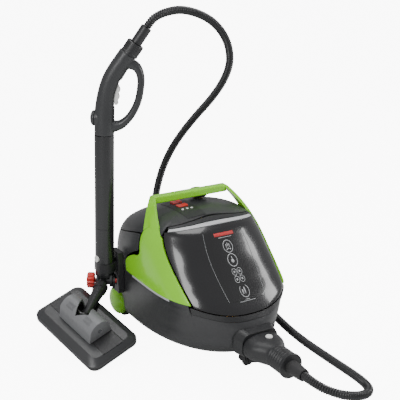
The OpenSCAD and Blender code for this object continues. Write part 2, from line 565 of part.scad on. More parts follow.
// ---- extension tubes ----
tube_low = 138;
tube_seam = 253;
tube_high = 475.5;
module tube(low, high) difference() {
    translate([0, 0, low]) cylinder(d = tube_d, h = high - low);
    translate([0, 0, low - 1]) cylinder(d = tube_d - 2 * tube_t, h = high - low + 2);
}
module tube_upper() placed() in_wand() color("#3c3d40") tube(tube_seam + 0.3, tube_high);
module tube_lower() placed() in_wand() color("#3c3d40") difference() {
    tube(tube_low, tube_seam);
    at_button() cylinder(r = button_r + 0.3, h = 30);
}
button_r = 8;
button_turn = -139;
module at_button() translate([0, 0, 178]) rotate([0, 0, button_turn]) rotate([0, 90, 0]) children();
module lock_button() placed() in_wand() color(pale) at_button() translate([0, 0, tube_d / 2 - 6.5])
    cylinder(r = button_r, h = 8.5);
bracket_x = -171;
bracket_y = 318;
bracket_w = 40;
clip_z = 143;
module parking_bracket() placed() color(black) difference() {
    translate([bracket_x, bracket_y, 84]) cube([-bracket_x - body_w / 2 - 1.4, bracket_w, 104]);
    translate([bracket_x - 1, bracket_y + 12, 104]) cube([12, 16, 24]);
}
module tube_clip() placed() color("#232325") difference() {
    union() {
        in_wand() translate([0, 0, clip_z]) cylinder(d = tube_d + 6, h = 23);
        translate([bracket_x - 12, bracket_y + 6, clip_z + 1]) cube([12, bracket_w - 12, 20]);
    }
    in_wand() translate([0, 0, clip_z - 20]) cylinder(d = tube_d + 0.2, h = 60);
    translate([-250, bracket_y + 4, clip_z - 10]) cube([38, bracket_w - 8, 50]);
}

// ---- elbow, neck and brush ----
elbow_at = [0, -6, 120];
fork_in = 10;
neck_dir = (brush_pivot - elbow_at) / norm(brush_pivot - elbow_at);
neck_len = norm(brush_pivot - elbow_at);
neck_turn = [0, acos(neck_dir[2]), atan2(neck_dir[1], neck_dir[0])];
module along_neck() in_wand() translate(elbow_at) rotate(neck_turn) children();
module elbow() placed() in_wand() color(black) difference() {
    union() {
        translate([0, 0, 132]) cylinder(d = tube_d - 2 * tube_t - 0.4, h = 28);
        translate([0, 0, 131]) cylinder(d1 = 42, d2 = tube_d, h = tube_low - 131.5);
        for (side = [-1, 1]) hull() {
            translate([side * 16, 0, 134]) cube([6, 30, 6], center = true);
            translate([side * 16, elbow_at[1], elbow_at[2]]) rotate([0, 90, 0])
                cylinder(r = 15, h = 6, center = true, $fn = 32);
        }
    }
    translate([0, 0, 126]) cylinder(r = 9, h = 120);
    translate(elbow_at) rotate([0, 90, 0]) cylinder(r = 5 + running, h = 60, center = true);
}
module elbow_clip() placed() in_wand() color(black) translate([19.4, elbow_at[1], elbow_at[2]])
    rotate([0, 90, 0]) difference() {
        union() {
            cylinder(r = 10, h = 6);
            translate([-6, -8, 0]) cube([24, 16, 5]);
        }
        translate([0, 0, -1]) cylinder(r = 5 + clear, h = 20);
    }
knob_x = -41;
knob_r = 19;
module lock_knob() placed() in_wand() color(red) translate([knob_x, elbow_at[1], elbow_at[2]])
    rotate([0, 90, 0]) difference() {
        union() {
            cylinder(r = knob_r - 2, h = 18);
            cylinder(r = 5, h = 70);
            for (a = [0:30:330]) rotate([0, 0, a]) translate([knob_r - 3, 0, 0]) cylinder(r = 3, h = 18);
        }
        translate([0, 0, -1]) cylinder(r = 8, h = 4);
    }
module neck() placed() color("#38393c") {
    difference() {
        union() {
            along_neck() cylinder(r = 9, h = 27);
            in_wand() translate(elbow_at) rotate([0, 90, 0]) cylinder(r = 10, h = 25, center = true);
            along_neck() translate([0, 0, 25]) cylinder(r = 17, h = 17);
            along_neck() translate([0, 0, 42]) cylinder(r1 = 15, r2 = 9, h = neck_len - 60);
            along_neck() translate([0, 0, neck_len - 19]) cylinder(r = 9, h = 12);
            in_brush() rotate([0, 90, 0]) cylinder(r = fork_in, h = 16, center = true);
        }
        in_wand() translate(elbow_at) rotate([0, 90, 0]) cylinder(r = 5 + running, h = 60, center = true);
        in_brush() rotate([0, 90, 0]) cylinder(r = 4 + running, h = 60, center = true);
        along_neck() translate([0, 0, 20]) cylinder(r = 4, h = neck_len - 44);
    }
}
hub_l = 112;
neck_back = wand_dir(elbow_at - brush_pivot);
// room for the neck through the hub and over the cover, from z = low upwards
module neck_gap(low, width, h) rotate([0, 0, atan2(neck_back * brush_v, neck_back * brush_u)])
    translate([-14, -width / 2, low - 21]) cube([134, width, h]);
module brush_hub() placed() in_brush() color("#8a8c8f") difference() {
    rotate([90, 0, 90]) linear_extrude(hub_l, center = true) polygon(concat(
        [[barrel_r + 4, -brush_drop + 16]], [for (a = [0:12:180]) barrel_r * [cos(a), sin(a)]],
        [[-barrel_r - 4, -brush_drop + 16]]));
    rotate([90, 0, 90]) linear_extrude(hub_l - 10, center = true) polygon(concat(
        [[barrel_r, -brush_drop]], [for (a = [0:12:180]) (barrel_r - 4) * [cos(a), sin(a)]],
        [[-barrel_r, -brush_drop]]));
    neck_gap(0, 2 * fork_in + 12, 70);
    rotate([0, 90, 0]) cylinder(r = 4 + 0.1, h = hub_l + 10, center = true);
}
module brush_pin() placed() in_brush() color(steel) rotate([0, 90, 0])
    cylinder(r = 4, h = hub_l - 2, center = true);
plate_z = -brush_drop;
module rounded_plate(dx, dy, r, h) linear_extrude(h) {
    square([dx - 2 * r, dy], center = true);
    square([dx, dy - 2 * r], center = true);
    for (sx = [-1, 1]) for (sy = [-1, 1]) translate([sx * (dx / 2 - r), sy * (dy / 2 - r)]) circle(r = r);
}
clip_at = [78, 2];
clip_size = [42, 54];
clip_hinge = [clip_at[1] + clip_size[1] / 2 - 4, plate_z + 13];
module brush_cover() placed() in_brush() color(charcoal) {
    cover_form();
    for (side = [-1, 1]) for (end = [-1, 1])
        translate([side * clip_at[0] + end * (clip_size[0] / 2 - 1), clip_hinge[0], clip_hinge[1]])
            rotate([0, 90, 0]) cylinder(r = 1, h = 6, center = true);
}
module cover_form() difference() {
    union() {
        translate([0, 0, plate_z + 3.2]) rounded_plate(brush_l, brush_h, brush_r, 3);
        translate([0, 0, plate_z + 6]) hull() {
            rounded_plate(brush_l - 6, brush_h - 6, brush_r, 0.2);
            translate([0, 0, 9.5]) rounded_plate(brush_l - 30, brush_h - 34, brush_r - 8, 0.2);
        }
    }
    for (side = [-1, 1]) translate([side * clip_at[0], clip_at[1], plate_z + 20])
        cube([clip_size[0] + 2, clip_size[1] + 2, 22], center = true);
    translate([0, 0, plate_z + 20]) cube([62, 60, 50], center = true);
    neck_gap(-8, 30, 40);
    for (side = [-1, 1]) translate([side * 40, 0, plate_z - 2]) cylinder(r = 2.2, h = 10);
}
module brush_base() placed() in_brush() color(black) difference() {
    translate([0, 0, plate_z - 8]) rounded_plate(brush_l, brush_h, brush_r, 11);
    translate([0, 0, plate_z - 9]) rounded_plate(brush_l - 34, brush_h - 34, brush_r - 8, 5);
    for (k = [-3:3]) translate([k * 26, 0, plate_z - 10]) cylinder(r = 2.5, h = 20);
}
module cloth_clip(side) color("#161617") translate([side * clip_at[0], clip_hinge[0], clip_hinge[1]])
    difference() {
        translate([-clip_size[0] / 2, -clip_size[1] + 4, -2]) cube([clip_size[0], clip_size[1], 4]);
        rotate([0, 90, 0]) cylinder(r = 1 + running, h = 60, center = true);
    }
module cloth_clip_left() placed() in_brush() cloth_clip(-1);
module cloth_clip_right() placed() in_brush() cloth_clip(1);
module bristle_strips() placed() in_brush() color("#202020") for (sy = [-1, 1])
    translate([0, sy * 34, plate_z - 6.8]) cube([brush_l - 60, 9, 5], center = true);

lower_shell();
rear_shell();
dome_cover();
front_cover();
front_label();
front_trim();
light_strip();
black_band();
side_strips();
wing_left();
wing_right();
carry_handle();
control_panel();
indicator_lamps();
rocker_power();
rocker_boiler();
boiler();
heater();
thermostat();
steam_valve();
steam_pipe();
filler_neck();
cap_seal();
safety_cap();
cord_gland();
rear_axle();
wheel_left();
wheel_right();
wheel_covers_left();
wheel_covers_right();
caster_fork();
caster_wheels();
socket_housing();
connector_body();
connector_button();
connector_sleeve();
hose();
gun_sleeve();
swivel_collar();
gun_shell_left();
gun_shell_right();
trigger();
trigger_pin();
steam_knob();
tube_upper();
tube_lower();
lock_button();
parking_bracket();
tube_clip();
elbow();
elbow_clip();
lock_knob();
neck();
brush_hub();
brush_pin();
brush_cover();
brush_base();
cloth_clip_left();
cloth_clip_right();
bristle_strips();
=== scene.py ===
import json
import math
import bpy
import bmesh
from mathutils import Euler, Matrix, Vector


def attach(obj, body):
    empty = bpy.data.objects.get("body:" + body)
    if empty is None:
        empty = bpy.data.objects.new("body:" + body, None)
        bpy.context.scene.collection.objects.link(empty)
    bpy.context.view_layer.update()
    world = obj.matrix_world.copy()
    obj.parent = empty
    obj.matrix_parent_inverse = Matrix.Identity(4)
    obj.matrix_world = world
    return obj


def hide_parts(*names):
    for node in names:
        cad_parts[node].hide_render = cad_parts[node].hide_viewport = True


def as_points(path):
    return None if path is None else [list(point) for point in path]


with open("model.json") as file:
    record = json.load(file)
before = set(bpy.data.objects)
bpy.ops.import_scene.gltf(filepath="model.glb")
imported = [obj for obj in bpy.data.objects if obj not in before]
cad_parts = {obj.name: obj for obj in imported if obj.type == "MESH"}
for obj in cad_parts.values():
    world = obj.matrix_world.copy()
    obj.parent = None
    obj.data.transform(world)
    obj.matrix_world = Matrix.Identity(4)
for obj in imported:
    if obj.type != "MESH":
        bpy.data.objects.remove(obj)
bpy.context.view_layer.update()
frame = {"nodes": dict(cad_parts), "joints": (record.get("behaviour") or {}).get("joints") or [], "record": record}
joints = {joint["name"]: joint for joint in frame["joints"]}
print("frame loaded")

# ---- places: everything is modelled in millimetres and put into the row frame at the end ----
casterHub = Vector(joints["caster_roll"]["pos_m"])
wheelShape = {"track": 284, "y": 372, "z": 42, "out": 25, "radius": 36, "tyre": 42, "wide": 22, "bore": 5.05}
socketHeight = 62
elbowAt = (0, -6, 120)
machine = Matrix.Translation((casterHub.x, casterHub.y, 0)) @ Matrix.Scale(0.001, 4)
wandPlace = {"foot": (-201, 340, 0), "yaw": -30.6, "lean": 1.8}
wand = (machine @ Matrix.Translation(wandPlace["foot"])
        @ Euler((0, math.radians(wandPlace["lean"]), math.radians(wandPlace["yaw"])), "XYZ").to_matrix().to_4x4())
brushPlace = {"pivot": (-30, -145, 89), "turn": (17.6, 15.2, -44), "drop": 34}
brushTurn = Euler([math.radians(a) for a in brushPlace["turn"]], "XYZ").to_matrix().to_4x4()
brush = wand @ Matrix.Translation(brushPlace["pivot"]) @ brushTurn
gunEnd = {"at": (93, 0, 719), "tilt": 33}
gunTurn = Matrix.Rotation(math.radians(gunEnd["tilt"]), 4, "Y")
collar = wand @ Matrix.Translation(gunEnd["at"]) @ gunTurn


def lookAlong(eye, target, lens):
    data = bpy.data.cameras.new("camera")
    data.lens = lens
    data.clip_start = 0.05
    camera = bpy.data.objects.new("camera", data)
    bpy.context.collection.objects.link(camera)
    camera.location = machine @ Vector(eye)
    direction = (machine @ Vector(target)) - camera.location
    camera.rotation_euler = direction.to_track_quat("-Z", "Y").to_euler()
    bpy.context.scene.camera = camera


lookAlong((-965, -1407.5, 945.7), (0, 224.5, 318.7), 77.3)
print("camera")


# ---- shader helpers ----
class Value:
    # wraps a socket, so that an expression on values adds its Math nodes
    def __init__(self, paint, socket):
        self.paint = paint
        self.socket = socket

    def math(self, operation, first, second):
        return self.paint.node("ShaderNodeMath", {"operation": operation}, [first, second])

    def __add__(self, other):
        return self.math("ADD", self, other)

    def __mul__(self, other):
        return self.math("MULTIPLY", self, other)

    def __sub__(self, other):
        return self.math("SUBTRACT", self, other)

    def __rsub__(self, other):
        return self.math("SUBTRACT", other, self)

    def __pow__(self, other):
        return self.math("POWER", self, other)

    __radd__ = __add__
    __rmul__ = __mul__


class Paint:
    def __init__(self, name):
        self.material = bpy.data.materials.new(name)
        self.material.use_nodes = True
        self.tree = self.material.node_tree
        self.shader = self.tree.nodes["Principled BSDF"]
        self.place = self.tree.nodes.new("ShaderNodeTexCoord").outputs["Object"]

    def node(self, kind, settings=None, values=(), output=0):
        made = self.tree.nodes.new(kind)
        for key, setting in (settings or {}).items():
            setattr(made, key, setting)
        pairs = values.items() if isinstance(values, dict) else enumerate(values)
        for key, value in pairs:
            self.join(made.inputs[key], value)
        return Value(self, made.outputs[output])

    def join(self, socket, value):
        if isinstance(value, Value):
            self.tree.links.new(value.socket, socket)
        elif isinstance(value, bpy.types.NodeSocket):
            self.tree.links.new(value, socket)
        else:
            socket.default_value = value

    def set(self, **values):
        for key, value in values.items():
            self.join(self.shader.inputs[key.replace("_", " ")], value)

    def noise(self, scale, detail=4.0, roughness=0.55):
        return self.node("ShaderNodeTexNoise", None,
                         {"Vector": self.place, "Scale": scale, "Detail": detail, "Roughness": roughness})

    def shades(self, first, second, factor):
        # Mix node's colour sockets: factor 0, A 6, B 7, result 2
        return self.node("ShaderNodeMix", {"data_type": "RGBA"},
                         {0: factor, 6: (*first, 1), 7: (*second, 1)}, 2)

    def bump(self, height, strength, distance):
        return self.node("ShaderNodeBump", None,
                         {"Height": height, "Strength": strength, "Distance": distance})


def mouldedPlastic(name, color, rough, grain=0.35, grainScale=2600, coat=0.0, wear=0.25):
    # dull or shiny moulded plastic: a fine spark-eroded grain, slow colour drift and slightly uneven gloss
    paint = Paint(name)
    drift = paint.noise(9.0, 3.0)
    fine = paint.noise(grainScale, 2.0)
    smudge = paint.noise(38.0, 5.0, 0.6)
    lighter = [min(1.0, c * (1 + wear) + 0.002) for c in color]
    darker = [c * (1 - wear * 0.6) for c in color]
    paint.set(Base_Color=paint.shades(darker, lighter, drift))
    paint.set(Roughness=smudge * 0.10 + drift * 0.05 + (rough - 0.075))
    paint.set(Normal=paint.bump(fine, grain, 0.0004))
    paint.set(Coat_Weight=coat)
    paint.shader.inputs["Coat Roughness"].default_value = 0.08
    return paint.material


def glossPlastic(name, color, rough=0.14, ripple=0.05):
    paint = Paint(name)
    drift = paint.noise(6.0, 2.0)
    smudge = paint.noise(24.0, 6.0, 0.65)
    dust = paint.noise(900.0, 2.0)
    paint.set(Base_Color=paint.shades([c * 0.9 for c in color], [c * 1.08 for c in color], drift))
    paint.set(Roughness=smudge * 0.09 + (rough - 0.03))
    paint.set(Normal=paint.bump(dust, ripple, 0.0002))
    paint.set(Coat_Weight=0.45)
    paint.shader.inputs["Coat Roughness"].default_value = 0.05
    return paint.material


def rubberPaint(name, color, rough=0.6, grainScale=1500):
    paint = Paint(name)
    drift = paint.noise(30.0, 5.0, 0.6)
    fine = paint.noise(grainScale, 3.0)
    paint.set(Base_Color=paint.shades([c * 0.75 for c in color], [c * 1.35 for c in color], drift))
    paint.set(Roughness=drift * 0.18 + (rough - 0.09))
    paint.set(Normal=paint.bump(fine, 0.4, 0.0003))
    return paint.material


def brushedMetal(name, color, rough=0.3):
    paint = Paint(name)
    stretch = paint.node("ShaderNodeMapping", None, {"Vector": paint.place, "Scale": (40.0, 40.0, 900.0)})
    streak = paint.node("ShaderNodeTexNoise", None, {"Vector": stretch, "Scale": 4.0, "Detail": 3.0})
    paint.set(Base_Color=paint.shades([c * 0.85 for c in color], color, streak), Metallic=1.0)
    paint.set(Roughness=streak * 0.2 + (rough - 0.1))
    paint.set(Normal=paint.bump(streak, 0.15, 0.0002))
    return paint.material


finishes = {
    "shell": mouldedPlastic("charcoalShell", (0.030, 0.031, 0.033), 0.36, 0.25, coat=0.05),
    "gloss_black": glossPlastic("pianoBlack", (0.013, 0.013, 0.0145), 0.2, 0.02),
    "label": glossPlastic("smokedLabel", (0.012, 0.012, 0.013), 0.2, 0.02),
    "trim": mouldedPlastic("darkTrim", (0.016, 0.0165, 0.018), 0.38, 0.3),
    "light_trim": mouldedPlastic("silverTrim", (0.5, 0.51, 0.52), 0.3, 0.1),
    "green": glossPlastic("leafGreen", (0.26, 0.72, 0.012), 0.24, 0.06),
    "red": mouldedPlastic("signalRed", (0.6, 0.03, 0.022), 0.36, 0.2, coat=0.2),
    "white": mouldedPlastic("buttonWhite", (0.82, 0.82, 0.8), 0.38, 0.15, wear=0.05),
    "dark_plastic": mouldedPlastic("blackPlastic", (0.018, 0.018, 0.02), 0.45, 0.4),
    "steel": brushedMetal("brushedSteel", (0.62, 0.63, 0.65)),
    "brass": brushedMetal("turnedBrass", (0.72, 0.53, 0.25), 0.28),
    "copper": brushedMetal("drawnCopper", (0.75, 0.42, 0.26), 0.3),
    "rubber": rubberPaint("softRubber", (0.022, 0.022, 0.023)),
    "tyre": rubberPaint("tyreRubber", (0.016, 0.016, 0.017), 0.7),
    "hose": rubberPaint("hoseRubber", (0.014, 0.0145, 0.016), 0.34),
    "tube": mouldedPlastic("tubeGrey", (0.014, 0.0145, 0.016), 0.27, 0.18, coat=0.2),
    "hub_grey": mouldedPlastic("hubGrey", (0.16, 0.163, 0.17), 0.42, 0.3),
    "print": mouldedPlastic("paleInk", (0.42, 0.43, 0.44), 0.5, 0.05, wear=0.05),
    "redPrint": mouldedPlastic("redInk", (0.5, 0.03, 0.03), 0.45, 0.05, wear=0.05),
}
slotOf = {part["node"]: part["material_slot"] for part in frame["record"]["subparts"]}
bodyOf = {node: body for body, members in frame["record"]["behaviour"]["bodies"].items() for node in members}
print("materials", len(finishes))


# ---- modelling helpers ----
def addPiece(name, bm, place, nodes, body=None, slot=None, finish=None, sharp=35, wall=0.0, bevel=0.0, steps=2):
    bmesh.ops.transform(bm, matrix=place, verts=bm.verts)
    mesh = bpy.data.meshes.new(name)
    bm.to_mesh(mesh)
    bm.free()
    mesh.polygons.foreach_set("use_smooth", [True] * len(mesh.polygons))
    mesh.set_sharp_from_angle(angle=math.radians(sharp))
    piece = bpy.data.objects.new(name, mesh)
    bpy.context.collection.objects.link(piece)
    if wall:
        solid = piece.modifiers.new("wall", "SOLIDIFY")
        solid.thickness = wall / 1000
        solid.offset = -1
        solid.use_even_offset = True
    if bevel:
        round_ = piece.modifiers.new("edges", "BEVEL")
        round_.width = bevel / 1000
        round_.segments = steps
        round_.limit_method = "ANGLE"
        round_.angle_limit = math.radians(sharp)
        round_.harden_normals = True
    owner = nodes[0] if nodes else None
    slot = slot or slotOf[owner]
    mesh.materials.append(finishes[finish or slot])
    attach(piece, body or bodyOf[owner])
    if nodes:
        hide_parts(*nodes)
    return piece


def surface(cols, rows, place, wrap=False, caps=False, away=None):
    # a grid whose points are put where place(u, v) says, u and v from 0 to 1
    bm = bmesh.new()
    bmesh.ops.create_grid(bm, x_segments=cols, y_segments=rows, size=0.5)
    for v in bm.verts:
        v.co = place(v.co.x + 0.5, v.co.y + 0.5)
    if wrap:
        bmesh.ops.remove_doubles(bm, verts=bm.verts, dist=0.002)
    if caps:
        bmesh.ops.holes_fill(bm, edges=bm.edges, sides=0)
    bmesh.ops.recalc_face_normals(bm, faces=bm.faces)
    if away is not None:
        facing = sum(f.normal.dot(f.calc_center_median() - Vector(away)) * f.calc_area() for f in bm.faces)
        if facing < 0:
            bmesh.ops.reverse_faces(bm, faces=bm.faces)
    return bm


def lathe(profile, steps=64):
    # profile: [radius, height] points turned about the local Z
    bm = bmesh.new()
    verts = [bm.verts.new((r, 0, z)) for r, z in profile]
    edges = [bm.edges.new(pair) for pair in zip(verts, verts[1:])]
    bmesh.ops.spin(bm, geom=verts + edges, cent=(0, 0, 0), axis=(0, 0, 1), angle=math.tau, steps=steps,
                   use_merge=True)
    bmesh.ops.remove_doubles(bm, verts=bm.verts, dist=0.002)
    bmesh.ops.recalc_face_normals(bm, faces=bm.faces)
    return bm


def smoothLine(points, per):
    # Catmull-Rom through every point
    ends = [points[0] * 2 - points[1], *points, points[-1] * 2 - points[-2]]
    line = []
    for k in range(1, len(ends) - 2):
        a, b, c, d = ends[k - 1:k + 3]
        for i in range(per):
            t = i / per
            line.append(0.5 * (2 * b + (c - a) * t + (2 * a - 5 * b + 4 * c - d) * t * t
                               + (3 * b - a - 3 * c + d) * t ** 3))
    line.append(points[-1])
    return line


def carve(piece, cutters):
    # takes closed cutters, given as bmeshes in the row frame, out of a piece for good
    extra = []
    for k, bm in enumerate(cutters):
        mesh = bpy.data.meshes.new(f"cutter{k}")
        bm.to_mesh(mesh)
        bm.free()
        cutter = bpy.data.objects.new(f"cutter{k}", mesh)
        bpy.context.collection.objects.link(cutter)
        extra.append(cutter)
        cut = piece.modifiers.new(f"cut{k}", "BOOLEAN")
        cut.object = cutter
        cut.operation = "DIFFERENCE"
        cut.solver = "EXACT"
        index = len(piece.modifiers) - 1
        edges = piece.modifiers.find("edges")
        if edges >= 0:
            piece.modifiers.move(index, edges)
    ready = piece.evaluated_get(bpy.context.evaluated_depsgraph_get())
    old = piece.data
    piece.data = bpy.data.meshes.new_from_object(ready)
    piece.modifiers.clear()
    for cutter in extra:
        bpy.data.objects.remove(cutter)
    bpy.data.meshes.remove(old)
    piece.data.name = piece.name


def join(bm, part):
    # adds a finished part's mesh to another
    mesh = bpy.data.meshes.new("part")
    part.to_mesh(mesh)
    part.free()
    bm.from_mesh(mesh)
    bpy.data.meshes.remove(mesh)


def block(size, place):
    bm = bmesh.new()
    bmesh.ops.create_cube(bm, size=1, matrix=place @ Matrix.Diagonal((*size, 1)))
    return bm


def rod(radius, low, high, place, steps=48):
    bm = bmesh.new()
    bmesh.ops.create_cone(bm, cap_ends=True, segments=steps, radius1=radius, radius2=radius, depth=high - low,
                          matrix=place @ Matrix.Translation((0, 0, (low + high) / 2)))
    return bm


def refine(node, bevel):
    # a CAD node whose shape is right, with its edges eased
    mesh = frame["nodes"][node].data
    bm = bmesh.new()
    bm.from_mesh(mesh)
    bmesh.ops.remove_doubles(bm, verts=bm.verts, dist=1e-6)
    bmesh.ops.dissolve_limit(bm, angle_limit=math.radians(0.6), verts=bm.verts, edges=bm.edges)
    return addPiece(node + "Eased", bm, Matrix.Identity(4), [node], sharp=32, bevel=bevel)


# ---- steam hose ----
hoseShape = {"radius": 9.7, "valley": 7.8, "pitch": 5.0, "sides": 18, "perPitch": 4}
hoseRoute = [
    (0, -116, 62), (0, -154, 62), (0, -191, 62), (2, -216, 60), (13, -243, 54), (37, -265, 46),
    (70, -273, 37), (103, -264, 28),
    (130, -240, 19), (145, -206, 13), (150, -165, 11), (150, -115, 11), (150, -60, 11),
    (151, 0, 11), (156, 60, 11), (166, 125, 11), (180, 190, 11), (193, 255, 11), (202, 320, 11),
    (206, 385, 11), (200, 445, 11), (182, 495, 11), (152, 530, 11), (114, 545, 14),
    (77, 541, 27), (48, 531, 52), (32, 522, 88), (26, 515, 130), (24, 509, 178), (26, 502, 228),
    (30, 492, 278), (38, 476, 330), (51, 453, 382), (69, 426, 430), (90, 395, 476),
    (112, 361, 522), (127, 331, 568), (130, 308, 612), (119, 294, 653), (97, 286, 689),
    (64, 280, 719), (24, 277, 739), (-19, 275, 749), (-58, 273, 746), (-85, 276, 735)]


def steamHose():
    last = machine.inverted() @ (wand @ Vector(gunEnd["at"]))
    fine = smoothLine([Vector(p) for p in hoseRoute] + [last], 40)
    travelled = [0.0]
    for a, b in zip(fine, fine[1:]):
        travelled.append(travelled[-1] + (b - a).length)
    length = travelled[-1]
    count = int(length / hoseShape["pitch"]) * hoseShape["perPitch"]
    centres = []
    k = 0
    for i in range(count + 1):
        s = length * i / count
        while k < len(travelled) - 2 and travelled[k + 1] < s:
            k += 1
        centres.append(fine[k].lerp(fine[k + 1], (s - travelled[k]) / (travelled[k + 1] - travelled[k])))
    sides = []
    side = Vector((1, 0, 0))
    for i in range(len(centres)):
        ahead = (centres[min(i + 1, count)] - centres[max(i - 1, 0)]).normalized()
        side = (side - ahead * side.dot(ahead)).normalized()
        sides.append((side.copy(), ahead.cross(side)))

    def place(u, v):
        i = round(v * count)
        wave = (i % hoseShape["perPitch"]) / hoseShape["perPitch"]
        ridge = 0.5 + 0.5 * math.cos(math.tau * wave)
        r = hoseShape["valley"] + (hoseShape["radius"] - hoseShape["valley"]) * ridge ** 0.7
        x, y = sides[i]
        turn = math.tau * u
        return centres[i] + x * (r * math.cos(turn)) + y * (r * math.sin(turn))

    bm = surface(hoseShape["sides"], count, place, wrap=True, caps=True)
    piece = addPiece("steamHose", bm, machine, ["hose"], sharp=75)
    path = [tuple(machine @ p) for p in fine[::8]] + [tuple(machine @ fine[-1])]
    return piece, path, length / 1000, tuple(machine @ Vector(hoseRoute[0]))


hose, hosePath, hoseLength, hoseExit = steamHose()
print("hose", round(hoseLength, 3), "m")

# ---- the body's skin ----
bodyShape = {"length": 448, "width": 308, "front": 16, "underside": 18, "seam": 145, "top": 300, "wall": 3,
             "gap": 1.1}
# height level, front inset, rear inset, side inset, front and rear roundness, widest point
skinRows = [
    (0, 44, 34, 24, 2.2, 2.8, 0.60), (0.05, 9, 14, 8, 2.2, 3.0, 0.62), (0.16, -16, 4, 1, 2.1, 3.2, 0.62),
    (0.35, -28, 0, 0, 2.1, 3.3, 0.62), (0.55, -30, -2, -1, 2.2, 3.3, 0.60), (0.79, -18, -2, -1, 2.6, 3.3, 0.55),
    (1, 0, 0, 0, 3.2, 3.2, 0.50), (1.23, 32, 3, 2, 3.1, 3.1, 0.50), (1.45, 63, 14, 5, 2.9, 2.9, 0.50),
    (1.63, 85, 36, 10, 2.7, 2.7, 0.50), (1.755, 100, 66, 17, 2.5, 2.5, 0.50), (1.845, 112, 96, 26, 2.4, 2.4, 0.50),
    (1.91, 128, 116, 44, 2.3, 2.3, 0.50), (1.96, 154, 139, 72, 2.2, 2.2, 0.50), (2, 196, 176, 110, 2.1, 2.1, 0.50)]


def lookup(level, k):
    # a cubic through the rows, so the skin has no creases between them
    rows = skinRows
    level = min(max(level, rows[0][0]), rows[-1][0])
    i = 0
    while i < len(rows) - 2 and rows[i + 1][0] < level:
        i += 1
    a, b = rows[i], rows[i + 1]
    width = b[0] - a[0]

    def slope(j):
        if j == 0 or j == len(rows) - 1:
            near = rows[1] if j == 0 else rows[-2]
            return (rows[j][k] - near[k]) / (rows[j][0] - near[0])
        before, here, after = rows[j - 1], rows[j], rows[j + 1]
        first = (here[k] - before[k]) / (here[0] - before[0])
        second = (after[k] - here[k]) / (after[0] - here[0])
        if first * second <= 0:
            return 0.0
        return 2 * first * second / (first + second)

    t = (level - a[0]) / width
    return ((1 + 2 * t) * (1 - t) ** 2 * a[k] + t * (1 - t) ** 2 * width * slope(i)
            + t * t * (3 - 2 * t) * b[k] - t * t * (1 - t) * width * slope(i + 1))


def skinSize(z):
    s = bodyShape
    level = (z - s["underside"]) / (s["seam"] - s["underside"]) if z < s["seam"] \
        else 1 + (z - s["seam"]) / (s["top"] - s["seam"])
    front = s["front"] + lookup(level, 1)
    rear = s["front"] + s["length"] - lookup(level, 2)
    half = s["width"] / 2 - lookup(level, 3)
    middle = front + (rear - front) * lookup(level, 6)
    return front, rear, half, middle, lookup(level, 4), lookup(level, 5)


def skin(bearing, z, proud=0.0):
    # point of the skin at a bearing from the front, in degrees, positive towards +X
    front, rear, half, middle, frontRound, rearRound = skinSize(z)
    s, c = math.sin(math.radians(bearing)), math.cos(math.radians(bearing))
    n = frontRound if c > 0 else rearRound
    reach = middle - front if c > 0 else rear - middle
    x = math.copysign(abs(s) ** (2 / n), s) * (half + proud)
    y = middle - math.copysign(abs(c) ** (2 / n), c) * (reach + proud)
    return Vector((x, y, z))


def bearingAt(x, z):
    # bearing of the front skin at sideways place x
    half, n = skinSize(z)[2], skinSize(z)[4]
    return math.copysign(math.degrees(math.asin(min(1, (abs(x) / half) ** (n / 2)))), x)


def domeHeight(x, y):
    low, high = bodyShape["seam"] + 60, bodyShape["top"]
    for _ in range(26):
        z = (low + high) / 2
        front, rear, half, middle, frontRound, rearRound = skinSize(z)
        n = frontRound if y < middle else rearRound
        reach = middle - front if y < middle else rear - middle
        inside = abs(x / half) ** n + abs((y - middle) / reach) ** n <= 1
        low, high = (z, high) if inside else (low, z)
    return low


def seamFront(a):
    return bodyShape["seam"] - 4 - 19 * max(0, math.cos(math.radians(min(abs(a), 44) * 90 / 44))) ** 1.3


def trimLow(a):
    return seamFront(a) - 11 - 5 * min(1, abs(a) / 44)


def stripLow(a):
    return bodyShape["top"] - 14 - 11 * (a / 60) ** 2


def bandHigh(a):
    return bodyShape["top"] - 5 - 13 * (a / 62) ** 2


def rim(a):
    return bodyShape["top"] - 40 - 46 * (max(0, abs(a) - 86) / 46) ** 0.75


def coverEdge(z):
    return 42 + 21 * (z - bodyShape["seam"]) / (bodyShape["top"] - 24 - bodyShape["seam"])


def wingRear(z):
    drop = min(1, max(0, (bodyShape["seam"] + 74 - z) / 56))
    return 87 + 5.5 * (1 - math.cos(math.pi * drop))


def wingTop(u):
    return bodyShape["top"] - 38 + 14 * u - 130 * max(0, u - 0.9)


def domeLow(a):
    a = abs(a)
    if a < 63:
        return bandHigh(a) + bodyShape["gap"]
    if a < 88:
        return bodyShape["top"] - 36 + 14 * (a - 63) / 24
    return rim(a) + bodyShape["gap"]


core = (0, 240, 150)


